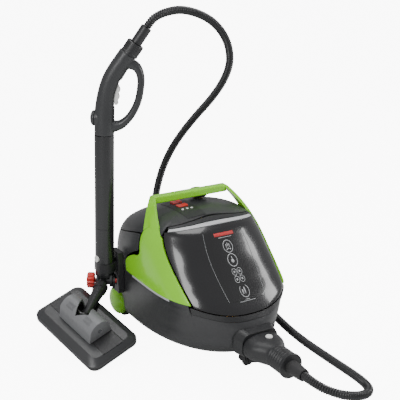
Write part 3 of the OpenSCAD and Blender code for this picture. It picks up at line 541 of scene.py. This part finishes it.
def lowerShell():
    s = bodyShape
    cols, rows = 240, 30

    def place(u, v):
        a = -180 + 360 * u
        high = trimLow(a) - s["gap"] if abs(a) < 45.1 else s["seam"]
        if v == 0:
            return skin(a, s["underside"])
        return skin(a, s["underside"] + (high - s["underside"]) * v ** 1.35)

    bm = surface(cols, rows, place, wrap=True, away=core)
    low = [e for e in bm.edges if e.is_boundary and all(v.co.z < s["underside"] + 0.5 for v in e.verts)]
    bmesh.ops.holes_fill(bm, edges=low, sides=0)
    bmesh.ops.recalc_face_normals(bm, faces=bm.faces)
    piece = addPiece("lowerShell", bm, machine, ["lower_shell"], wall=s["wall"], bevel=0.7, sharp=38)
    wheel = joints["wheel_left_spin"]["pos_m"]
    cutters = []
    for side in (-1, 1):
        hub = Matrix.Translation((side * abs(wheel[0] - casterHub.x) + casterHub.x, wheel[1], wheel[2]))
        out = hub @ Matrix.Rotation(side * math.pi / 2, 4, "Y") @ Matrix.Scale(0.001, 4)
        cutters.append(rod(45, -15, 120, out, 72))
    cutters.append(rod(36, -40, 31, machine @ Matrix.Translation((0, 14, 0)), 72))
    socket = machine @ Matrix.Translation((0, 0, socketHeight)) @ Matrix.Rotation(-math.pi / 2, 4, "X")
    cutters.append(rod(24.4, -60, 30, socket))
    carve(piece, cutters)


def wheelWells():
    # the inner walls of the wheel arches, as part of the lower shell
    arch = 47.6
    for side, word in ((-1, "Left"), (1, "Right")):
        bm = lathe([(0, -3), (arch, -3), (arch, 22)])
        place = (machine @ Matrix.Translation((side * 116, wheelShape["y"], wheelShape["z"]))
                 @ Matrix.Rotation(side * math.pi / 2, 4, "Y"))
        bmesh.ops.bisect_plane(bm, geom=bm.verts[:] + bm.edges[:] + bm.faces[:], plane_co=(side * 21, 0, 0),
                               plane_no=(side, 0, 0), clear_outer=True)
        addPiece("wheelWell" + word, bm, place, [], body="root", slot="dark_plastic", wall=1.5)


def rearShell():
    s = bodyShape

    def place(u, v):
        a0 = wingRear(s["seam"] + 60) + 2 + u * (356 - 2 * wingRear(s["seam"] + 60))
        z = s["seam"] + s["gap"] + v * (rim(a0 if a0 < 180 else 360 - a0) - s["seam"] - s["gap"])
        return skin(wingRear(z) + 2 + u * (356 - 2 * wingRear(z)), z)

    bm = surface(150, 26, place, away=core)
    addPiece("rearShell", bm, machine, ["rear_shell"], wall=s["wall"], bevel=0.8)


def domeCover():
    s = bodyShape

    def place(u, v):
        a = -180 + 360 * u
        low = domeLow(a)
        return skin(a, low + (s["top"] - low) * (1 - (1 - v) ** 1.6))

    bm = surface(240, 30, place, wrap=True, away=core)
    top = [e for e in bm.edges if e.is_boundary and all(v.co.z > s["top"] - 0.01 for v in e.verts)]
    bmesh.ops.holes_fill(bm, edges=top, sides=0)
    bmesh.ops.recalc_face_normals(bm, faces=bm.faces)
    addPiece("domeCover", bm, machine, ["dome_cover"], wall=s["wall"], bevel=0.8)


def strip(name, node, low, high, half, proud, thick):
    def place(u, v):
        a = (2 * u - 1) * half
        return skin(a, low(a) + v * (high(a) - low(a)), proud)

    addPiece(name, surface(80, 4, place, away=core), machine, [node], wall=thick, bevel=0.5)


def frontPanels():
    s = bodyShape
    gap = s["gap"]

    def cover(u, v):
        x = 2 * u - 1
        low, high = seamFront(x * 43) + gap, stripLow(x * 61) - gap
        z = low + v * (high - low)
        return skin(x * (coverEdge(z) - 0.6), z)

    addPiece("frontCover", surface(90, 40, cover, away=core), machine, ["front_cover"], wall=s["wall"], bevel=0.9)

    def label(u, v):
        z = s["seam"] + 4 + v * (s["top"] - 30 - s["seam"])
        return skin((2 * u - 1) * (8.5 + 9.5 * v), z, 0.35)

    addPiece("frontLabel", surface(40, 30, label, away=core), machine, ["front_label"], wall=0.25, bevel=0.1)
    strip("frontTrim", "front_trim", trimLow, lambda a: seamFront(a) - gap * 0.4, 45, 1.0, 3)
    strip("lightStrip", "light_strip", stripLow, lambda a: stripLow(a) + 4.2, 58, 0.5, 3)
    strip("blackBand", "black_band", lambda a: stripLow(a) + 5, bandHigh, 60, 0, 3)
    bm = bmesh.new()
    for side in (-1, 1):
        def place(u, v):
            return skin(side * (66 + 27 * u), s["seam"] - 5 + 4.6 * v, 1.0)

        join(bm, surface(40, 2, place, away=core))
    addPiece("sideStrips", bm, machine, ["side_strips"], wall=0.8, bevel=0.2)


wingShape = {"proud": 3, "thick": 6, "round": 2.4}


def wing(side, name, node):
    s = bodyShape

    def place(u, v):
        z = s["seam"] + s["gap"] + v * (wingTop(u) - s["seam"])
        front = coverEdge(z) + 1
        a = front + u * (wingRear(z) - front)
        return skin(side * a, z, wingShape["proud"])

    bm = surface(54, 54, place, away=core)
    addPiece(name, bm, machine, [node], wall=wingShape["thick"], bevel=wingShape["round"], steps=4)


lowerShell()
wheelWells()
rearShell()
domeCover()
frontPanels()
wing(-1, "wingLeft", "wing_left")
wing(1, "wingRight", "wing_right")
print("body panels")

# ---- carry handle ----
handleShape = {"barY": 275, "top": 330, "half": 99, "thick": 17, "depth": 21, "arm": 7}


def carryHandle():
    h = handleShape
    mid = h["top"] - h["thick"] / 2
    bar = block((2 * h["half"], h["depth"], h["thick"]), machine @ Matrix.Translation((0, h["barY"], mid)))
    addPiece("carryBar", bar, Matrix.Identity(4), ["carry_handle"], bevel=3.2, steps=5)
    for side, word in ((1, "Right"), (-1, "Left")):
        def blade(u, v):
            # from along a wing's top edge up to the bar's end
            low = skin(side * (63 + 24.5 * u), wingTop(u) + 0.4, wingShape["proud"])
            bend = Vector((side * 121, 243 + 44 * (u - 0.5), 305 + 6 * (u - 0.5)))
            high = Vector((side * (h["half"] + 0.6), h["barY"] + (h["depth"] - 1.4) * (u - 0.5), h["top"] - 0.6))
            return low * (1 - v) ** 2 + bend * (2 * v * (1 - v)) + high * v ** 2

        bm = surface(20, 30, blade, away=core)
        addPiece("carryArm" + word, bm, machine, ["carry_handle"], wall=h["arm"], bevel=2.2, steps=4)


carryHandle()
print("handle")

# ---- printed pictograms and the marks on the front ----
printShape = {"proud": 0.62, "thick": 0.2, "ring": 12.2, "line": 1.3}


def ring2d(bm, x, z, radius, line, part=1.0, turn=0.0, steps=40):
    # a flat ring, or the given part of one
    used = round(steps * part)
    made = []
    for r in (radius - line, radius):
        made.append([bm.verts.new((x + r * math.sin(turn + math.tau * k / steps), 0,
                                   z + r * math.cos(turn + math.tau * k / steps))) for k in range(used + 1)])
    edges = [bm.edges.new(pair) for row in made for pair in zip(row, row[1:])]
    bmesh.ops.bridge_loops(bm, edges=edges)


def bar2d(bm, x, z, wide, tall, cells=8):
    turn = Matrix.Translation((x, 0, z)) @ Matrix.Rotation(math.pi / 2, 4, "X")
    bmesh.ops.create_grid(bm, x_segments=cells, y_segments=1, size=0.5,
                          matrix=turn @ Matrix.Diagonal((wide, tall, 1, 1)))


def disc2d(bm, x, z, radius):
    turn = Matrix.Translation((x, 0, z)) @ Matrix.Rotation(math.pi / 2, 4, "X")
    bmesh.ops.create_circle(bm, cap_ends=True, segments=20, radius=radius, matrix=turn)


def printOn(name, bm, finish, slot):
    for v in bm.verts:
        v.co = skin(bearingAt(v.co.x, v.co.z), v.co.z, printShape["proud"])
    bmesh.ops.recalc_face_normals(bm, faces=bm.faces)
    for f in bm.faces:
        if f.normal.dot(f.calc_center_median() - Vector(core)) < 0:
            f.normal_flip()
    addPiece(name, bm, machine, [], body="root", slot=slot, finish=finish, wall=printShape["thick"])


def frontPrint():
    p = printShape
    ink = bmesh.new()
    for z in (245, 219):
        ring2d(ink, 0, z, p["ring"], p["line"])
    for k, x in enumerate((-4, 0, 4)):
        bar2d(ink, x, 246 + (k % 2) * 2, 1.6, 7, 1)
        disc2d(ink, x, 239.5 + (k % 2), 1.5)
    disc2d(ink, 0, 217.5, 3.6)
    bar2d(ink, 0, 223.5, 1.8, 5, 1)
    for x, z in ((-6.6, 198), (6.6, 198), (-6.6, 184.8), (6.6, 184.8)):
        ring2d(ink, x, z, 6.2, 0.9, steps=28)
        disc2d(ink, x, z, 2.2)
    ring2d(ink, 0, 164, p["ring"] - 0.6, p["line"], part=0.8, turn=0.6)
    bar2d(ink, -4.5, 163, 3, 8, 1)
    bar2d(ink, 1, 165, 3, 11, 1)
    for z, wide in ((262.5, 34), (149.4, 12), (146.6, 40)):
        bar2d(ink, 0, z, wide, 0.9, 14)
    printOn("frontPrint", ink, "print", "light_trim")
    edge = bmesh.new()
    for side in (-1, 1):
        def line(u, v):
            z = bodyShape["seam"] + 4 + v * (bodyShape["top"] - 30 - bodyShape["seam"])
            return skin(side * (8.5 + 9.5 * v - 0.4 * u), z, p["proud"])

        join(edge, surface(1, 40, line, away=core))
    addPiece("labelEdge", edge, machine, [], body="root", slot="hub_grey", finish="hub_grey", wall=p["thick"])
    mark = bmesh.new()
    bar2d(mark, 0, 268.5, 50, 6.4, 20)
    printOn("frontMark", mark, "redPrint", "red")


def controlPanel():
    c = {"x": -30, "wide": 58, "front": 186, "rear": 309, "proud": 0.8}

    def place(u, v):
        y = c["front"] + v * (c["rear"] - c["front"])
        x = c["x"] + (u - 0.5) * (c["wide"] - 10 * (1 - v))
        return Vector((x, y, domeHeight(x, y) + c["proud"]))

    bm = surface(30, 50, place, away=(0, 240, 200))
    piece = addPiece("controlPanel", bm, machine, ["control_panel"], wall=3, bevel=0.6)
    carve(piece, [block((26, 19, 30), machine @ Matrix.Translation((c["x"], y, 300))) for y in (258, 286)])


frontPrint()
controlPanel()
print("prints and panel")

# ---- steam gun ----
gunShape = {"voxel": 1.15, "smooth": 10, "split": 0.25, "foot": 476.2, "knob": 514}
# centre x and z in the wand's plane, in-plane half width, half depth
gunTube = [
    (0, 476, 22.3, 22.3), (0.5, 500, 22.6, 21.5), (1, 530, 22.6, 19.6), (5, 566, 20.8, 19.2), (14, 597, 20.6, 19.2),
    (27, 622, 20.6, 19.4), (40, 642, 20.2, 19.6), (52.9, 661.5, 19.8, 19.8)]
gunLoop = [
    (10, 494, 15, 14), (36, 500, 11, 13), (54, 515, 9, 12.6), (67.8, 536, 8.5, 12.2), (77, 560, 8.3, 12),
    (81.4, 588, 8.3, 12), (81.8, 606, 8.6, 12.2), (78, 622, 9.4, 12.6), (69, 634, 11, 13.4), (50, 641, 13, 14)]


def sweptTube(stations, per, sides, squareness=1.0):
    # a closed tube along stations in the wand's plane
    line = smoothLine([Vector((x, z, a, b)) for x, z, a, b in stations], per)
    count = len(line) - 1

    def place(u, v):
        i = round(v * count)
        p = line[i]
        along = line[min(i + 1, count)] - line[max(i - 1, 0)]
        along = Vector((along[0], along[1])).normalized()
        t = math.tau * u
        c, s = math.cos(t), math.sin(t)
        across = math.copysign(abs(c) ** squareness, c) * p[2]
        deep = math.copysign(abs(s) ** squareness, s) * p[3]
        return Vector((p[0] + along.y * across, deep, p[1] - along.x * across))

    return surface(sides, count, place, wrap=True, caps=True)


def melted(parts, voxel, smooth):
    # closed forms melted into one, with soft fillets where they meet
    mesh = bpy.data.meshes.new("melted")
    joined = bmesh.new()
    for part in parts:
        join(joined, part)
    joined.to_mesh(mesh)
    joined.free()
    form = bpy.data.objects.new("melted", mesh)
    bpy.context.collection.objects.link(form)
    remesh = form.modifiers.new("remesh", "REMESH")
    remesh.mode = "VOXEL"
    remesh.voxel_size = voxel
    soften = form.modifiers.new("soften", "SMOOTH")
    soften.iterations = smooth
    ready = form.evaluated_get(bpy.context.evaluated_depsgraph_get())
    bm = bmesh.new()
    bm.from_mesh(ready.to_mesh())
    ready.to_mesh_clear()
    bpy.data.objects.remove(form)
    bpy.data.meshes.remove(mesh)
    return bm


def cutFlat(bm, at, normal):
    # cuts away what lies beyond a plane and closes the cut
    cut = bmesh.ops.bisect_plane(bm, geom=bm.verts[:] + bm.edges[:] + bm.faces[:], plane_co=at, plane_no=normal,
                                 clear_outer=True)
    rim = [e for e in cut["geom_cut"] if isinstance(e, bmesh.types.BMEdge)]
    bmesh.ops.triangle_fill(bm, edges=rim, use_beauty=True, normal=normal)


def steamGun():
    g = gunShape
    for side, word in ((1, "Left"), (-1, "Right")):
        boss = rod(16.6, 6, 22, Matrix.Translation((0, 0, g["knob"])) @ Matrix.Rotation(-math.pi / 2, 4, "Y"))
        body = melted([sweptTube(gunTube, 8, 48), sweptTube(gunLoop, 8, 32, 0.85), boss], g["voxel"], g["smooth"])
        cutFlat(body, (0, 0, g["foot"]), (0, 0, -1))
        cutFlat(body, (0, side * g["split"], 0), (0, -side, 0))
        bmesh.ops.recalc_face_normals(body, faces=body.faces)
        node = "gun_shell_left" if side > 0 else "gun_shell_right"
        piece = addPiece("gunShell" + word, body, wand, [node], sharp=50)
        slot = wand @ Matrix.Translation((24, 0, 572)) @ Matrix.Rotation(0.1, 4, "Y")
        carve(piece, [block((32, 17, 64), slot)])


def triggerShape():
    wide = 13
    outline = [(18, 600), (27, 601), (31, 594), (36.5, 582), (36, 577), (32.5, 572), (35, 565), (34, 560),
               (30.5, 556), (32, 549), (29, 546), (24, 546), (20, 570)]
    bm = bmesh.new()
    face = bm.faces.new([bm.verts.new((x, -wide / 2, z)) for x, z in outline])
    grown = bmesh.ops.extrude_face_region(bm, geom=[face])
    moved = [v for v in grown["geom"] if isinstance(v, bmesh.types.BMVert)]
    bmesh.ops.translate(bm, vec=(0, wide, 0), verts=moved)
    bmesh.ops.recalc_face_normals(bm, faces=bm.faces)
    addPiece("triggerLever", bm, wand, ["trigger"], bevel=1.4, steps=4, sharp=20)


def steamKnob():
    # a domed knob with a shallow collar
    edge, rise, crown = 17.6, 1.2, 8.1
    dome = [(edge * math.sin(a), rise + crown * math.cos(a)) for a in
            [math.radians(d) for d in range(6, 91, 6)]]
    profile = [(0, rise + crown)] + dome + [(edge, 0.2), (16.4, 0.05), (0, 0.05)]
    bm = lathe(profile, 56)
    place = wand @ Matrix.Translation((-22.4, 0, gunShape["knob"])) @ Matrix.Rotation(-math.pi / 2, 4, "Y")
    addPiece("steamKnobDome", bm, place, ["steam_knob"], sharp=40)


def swivelCollar():
    c = {"low": -70.5, "bore": 8.05, "ribs": 20}
    profile = [(c["bore"], 0), (19.2, 0), (20, 0.8), (20, 5), (19.4, 5.6), (19.4, 27.8), (18.2, 29),
               (c["bore"], 29), (c["bore"], 0)]
    bm = lathe(profile, 80)
    for k in range(c["ribs"]):
        turn = Matrix.Rotation(math.tau * k / c["ribs"], 4, "Z") @ Matrix.Translation((19.3, 0, 17))
        bmesh.ops.create_cube(bm, size=1, matrix=turn @ Matrix.Diagonal((1.3, 2.6, 19, 1)))
    addPiece("swivelCollarRing", bm, collar @ Matrix.Translation((0, 0, c["low"])), ["swivel_collar"], bevel=0.4)


steamGun()
triggerShape()
steamKnob()
swivelCollar()
print("steam gun")

# ---- wheels ----
def rearWheel(side, word):
    w = wheelShape
    place = (machine @ Matrix.Translation((side * w["track"] / 2, w["y"], w["z"]))
             @ Matrix.Rotation(side * math.pi / 2, 4, "Y"))
    rise, crown = 5.6, w["out"] - 6
    dome = [(w["radius"] * math.cos(a), rise + crown * math.sin(a)) for a in
            [math.radians(d) for d in range(0, 90, 5)]] + [(0, rise + crown)]
    bm = lathe([(0, 0.2), (w["radius"] - 1, 0.2), (w["radius"], 1.2)] + dome, 80)
    addPiece("wheelCover" + word, bm, place, ["wheel_covers_" + word.lower()], sharp=50)
    tread = []
    for k in range(7):
        z = -w["wide"] + 3.2 + k * 2.6
        tread += [(w["tyre"] - 1.1, z), (w["tyre"], z + 0.5), (w["tyre"], z + 1.8), (w["tyre"] - 1.1, z + 2.3)]
    tyre = lathe([(w["bore"], -w["wide"]), (36, -w["wide"]), (40, -w["wide"] + 1), *tread, (40, -1), (36, 0),
                  (w["bore"], 0), (w["bore"], -w["wide"])], 96)
    addPiece("tyre" + word, tyre, place, ["wheel_" + word.lower()], sharp=40)


rearWheel(-1, "Left")
rearWheel(1, "Right")
print("wheels")

# ---- hose connector ----
# place along the hose, half width, half height, squareness
connectorForm = [
    (-32.5, 43, 25, 2.6), (-34, 45.5, 26.6, 2.6), (-42, 46.5, 27, 2.5), (-56, 45, 27, 2.4), (-68, 40, 26.8, 2.3),
    (-80, 33, 26.4, 2.15), (-90, 28, 26, 2.0), (-96, 26.4, 25.8, 2.0)]
gripShape = {"from": -96, "to": -140, "ribs": 6, "low": 24.6, "high": 26.6, "bore": 15.1, "spigot": 21}


def connector():
    rows = smoothLine([Vector(row) for row in connectorForm], 5)
    g = gripShape
    per = 8
    pitch = (g["from"] - g["to"]) / g["ribs"]
    for k in range(1, g["ribs"] * per + 1):
        wave = 0.5 - 0.5 * math.cos(math.tau * k / per)
        r = g["high"] - (g["high"] - g["low"]) * wave ** 1.6
        rows.append(Vector((g["from"] - pitch * k / per, r, r, 2)))
    for y, r in ((-140.6, 27.4), (-141.2, 28), (-145.4, 28), (-146.5, 27), (-146.5, g["bore"]), (-120, g["bore"])):
        rows.append(Vector((y, r, r, 2)))
    for y in (-32.5, -1):
        rows.insert(0, Vector((y, g["spigot"], g["spigot"], 2)))
    count = len(rows) - 1

    def place(u, v):
        y, half, tall, n = rows[round(v * count)]
        t = math.tau * u
        c, s = math.cos(t), math.sin(t)
        across = math.copysign(abs(c) ** (2 / n), c) * half
        return Vector((across, y, socketHeight + math.copysign(abs(s) ** (2 / n), s) * tall))

    bm = surface(88, count, place, wrap=True, caps=True)
    return addPiece("connectorBody", bm, machine, ["connector_body"], sharp=42)


def ovalButton():
    at, radius = (6, -56.5), 8
    rings = [(76, 1, 1), (88.2, 1, 1), (90.4, 0.96, 0.94), (91.6, 0.82, 0.78), (92, 0.5, 0.45)]

    def place(u, v):
        z, wide, long = rings[round(v * (len(rings) - 1))]
        t = math.tau * u
        return Vector((at[0] + radius * wide * math.cos(t), at[1] + radius * long * math.sin(t), z))

    bm = surface(48, len(rings) - 1, place, wrap=True, caps=True)
    return addPiece("connectorButton", bm, machine, ["connector_button"], sharp=60)


connectorParts = [connector(), ovalButton(), refine("connector_sleeve", 0.8)]
print("connector")

# ---- floor brush ----
brushShape = {"long": 225, "deep": 132, "corner": 20}


def roundedRing(t, long, deep, r):
    # point of a rounded rectangle's outline, t from 0 to 1 along its length
    straightX, straightY, arc = long - 2 * r, deep - 2 * r, math.pi * r / 2
    d = t * 2 * (straightX + straightY + 2 * arc)
    corners = [(1, -1, straightX, 0), (1, 1, straightY, 90), (-1, 1, straightX, 180), (-1, -1, straightY, 270)]
    starts = [(-1, -1), (1, -1), (1, 1), (-1, 1)]
    for (sx, sy, straight, turn), (px, py) in zip(corners, starts):
        a = math.radians(turn)
        along = Vector((math.cos(a), math.sin(a)))
        out = Vector((math.sin(a), -math.cos(a)))
        begin = Vector((px * straightX / 2, py * straightY / 2)) + out * r
        if d <= straight:
            return begin + along * d
        d -= straight
        centre = Vector((sx * straightX / 2, sy * straightY / 2))
        if d <= arc:
            b = d / r
            return centre + out * (r * math.cos(b)) + along * (r * math.sin(b))
        d -= arc
    return Vector((-straightX / 2, -deep / 2))


def platePiece(name, node, rings, bevel):
    # rings: height, length, depth, corner radius
    def place(u, v):
        z, long, deep, r = rings[round(v * (len(rings) - 1))]
        p = roundedRing(u, long, deep, r)
        return Vector((p.x, p.y, z))

    bm = surface(152, len(rings) - 1, place, wrap=True, caps=True)
    return addPiece(name, bm, brush, [node], bevel=bevel, sharp=18, steps=3)


def floorBrush():
    b = brushShape
    low = -brushPlace["drop"]
    cover = platePiece("brushCover", "brush_cover", [
        (low + 3.2, b["long"], b["deep"], b["corner"]), (low + 6, b["long"], b["deep"], b["corner"]),
        (low + 7.4, b["long"] - 3, b["deep"] - 3, b["corner"]),
        (low + 15.7, b["long"] - 30, b["deep"] - 34, 13)], 1.2)
    toNeck = brushTurn.inverted() @ (Vector(elbowAt) - Vector(brushPlace["pivot"]))
    slot = math.atan2(toNeck.y, toNeck.x)
    cutters = [block((44, 56, 22), brush @ Matrix.Translation((side * 78, 2, low + 20))) for side in (-1, 1)]
    cutters.append(block((62, 60, 50), brush @ Matrix.Translation((0, 0, low + 20))))
    cutters.append(block((134, 30, 40), brush @ Matrix.Rotation(slot, 4, "Z") @ Matrix.Translation((53, 0, -9))))
    carve(cover, cutters)
    platePiece("brushBase", "brush_base", [
        (low - 8, b["long"] - 6, b["deep"] - 6, b["corner"] - 2), (low - 6, b["long"], b["deep"], b["corner"]),
        (low + 3, b["long"], b["deep"], b["corner"])], 1.0)


def lockKnob():
    # a scalloped knob with a dark star-shaped inlay, on its rod
    k = {"radius": 19, "scallop": 1.7, "lobes": 12, "from": -41, "rod": 5, "lobesFrom": 13}
    ring = {"inner": 9.6, "outer": 14.6, "points": 6, "depth": 0.07}
    profile = [(0, 0.2), (6.5, 0.2), (7, 1.4), (8.6, 1.4), (9.2, 0.2), (15.5, 0.1), (17.4, 1.2), (18, 3), (18, 15),
               (17, 17.2), (15, 18), (k["rod"], 18), (k["rod"], 70), (0, 70)]
    bm = lathe(profile, 144)
    for v in bm.verts:
        r = math.hypot(v.co.x, v.co.y)
        if r > k["lobesFrom"]:
            wave = math.cos(k["lobes"] * math.atan2(v.co.y, v.co.x))
            grown = r * (1 + (wave - 0.35) * k["scallop"] / k["radius"] * min(1, (r - k["lobesFrom"]) / 4))
            v.co.x, v.co.y = v.co.x * grown / r, v.co.y * grown / r
    place = wand @ Matrix.Translation((k["from"], *elbowAt[1:])) @ Matrix.Rotation(math.pi / 2, 4, "Y")
    addPiece("lockKnobBody", bm, place, ["lock_knob"], bevel=0.4, sharp=35)
    inner, outer = ring["inner"], ring["outer"]
    inlay = lathe([(inner, -0.15), (outer, -0.15), (outer, 0.6), (inner, 0.6), (inner, -0.15)], 96)
    for v in inlay.verts:
        r = math.hypot(v.co.x, v.co.y)
        wave = math.cos(ring["points"] * math.atan2(v.co.y, v.co.x))
        grown = 1 + ring["depth"] * wave * (r - inner) / (outer - inner)
        v.co.x, v.co.y = v.co.x * grown, v.co.y * grown
    addPiece("lockKnobInlay", inlay, place, [], body="lock_knob", slot="dark_plastic", finish="dark_plastic")


def brushTrim():
    # press ribs along the barrel's top
    ribs = bmesh.new()
    for n in range(9):
        for side in (-1, 1):
            matrix = Matrix.Translation((side * (20 + n * 2.6), -12.9, 23.6)) @ Matrix.Rotation(0.5, 4, "X")
            bmesh.ops.create_cube(ribs, size=1, matrix=matrix @ Matrix.Diagonal((1.0, 13, 1.2, 1)))
    addPiece("barrelRibs", ribs, brush, [], body="brush", slot="hub_grey", finish="hub_grey", bevel=0.3)


floorBrush()
lockKnob()
brushTrim()
print("floor brush")

# ---- nodes whose CAD shape is right, with eased edges; the rest only take their finish ----
eased = {
    "socket_housing": 2.0, "gun_sleeve": 0.8, "tube_upper": 0.4, "tube_lower": 0.4, "lock_button": 0.8,
    "parking_bracket": 1.5, "tube_clip": 0.8, "elbow": 0.8, "elbow_clip": 0.6, "neck": 1.0, "brush_hub": 1.5,
    "cloth_clip_left": 0.6, "cloth_clip_right": 0.6, "caster_fork": 1.2, "caster_wheels": 1.2,
    "rocker_power": 0.6, "rocker_boiler": 0.6, "safety_cap": 0.8, "indicator_lamps": 0.5}
for node, width in eased.items():
    refine(node, width)
for node, piece in frame["nodes"].items():
    if node not in eased:
        piece.data.materials.clear()
        piece.data.materials.append(finishes[slotOf[node]])
print("eased nodes", len(eased))

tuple(hoseExit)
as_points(hosePath)

# ---- floor and light ----
# the floor glows for the camera alone, as a lit studio sweep does
stageLook = {"size": 9, "floor": 0.8, "glow": 9, "world": 0.42}


def studio():
    bm = bmesh.new()
    bmesh.ops.create_grid(bm, x_segments=1, y_segments=1, size=stageLook["size"])
    mesh = bpy.data.meshes.new("floor")
    bm.to_mesh(mesh)
    bm.free()
    floor = bpy.data.objects.new("floor", mesh)
    bpy.context.collection.objects.link(floor)
    paint = Paint("paleFloor")
    seen = paint.node("ShaderNodeLightPath")
    paint.set(Base_Color=(stageLook["floor"],) * 3 + (1,), Roughness=0.6)
    paint.set(Emission_Color=paint.shades((0, 0, 0), (1, 1, 1), seen), Emission_Strength=stageLook["glow"])
    mesh.materials.append(paint.material)
    world = bpy.data.worlds.new("studio")
    world.use_nodes = True
    world.node_tree.nodes["Background"].inputs[0].default_value = (1, 1, 1, 1)
    world.node_tree.nodes["Background"].inputs[1].default_value = stageLook["world"]
    bpy.context.scene.world = world
    lamps = [
        ("keyLight", (-1.9, -0.9, 1.5), 1.0, 30), ("rightStrip", (1.7, -0.9, 1.0), 0.8, 20),
        ("topLight", (0.1, 0.2, 2.4), 1.4, 30)]
    for name, at, size, power in lamps:
        light = bpy.data.lights.new(name, "AREA")
        light.size = size
        light.energy = power
        lamp = bpy.data.objects.new(name, light)
        bpy.context.collection.objects.link(lamp)
        lamp.location = at
        lamp.rotation_euler = (Vector((0, 0, 0.25)) - Vector(at)).to_track_quat("-Z", "Y").to_euler()


studio()
print("studio")
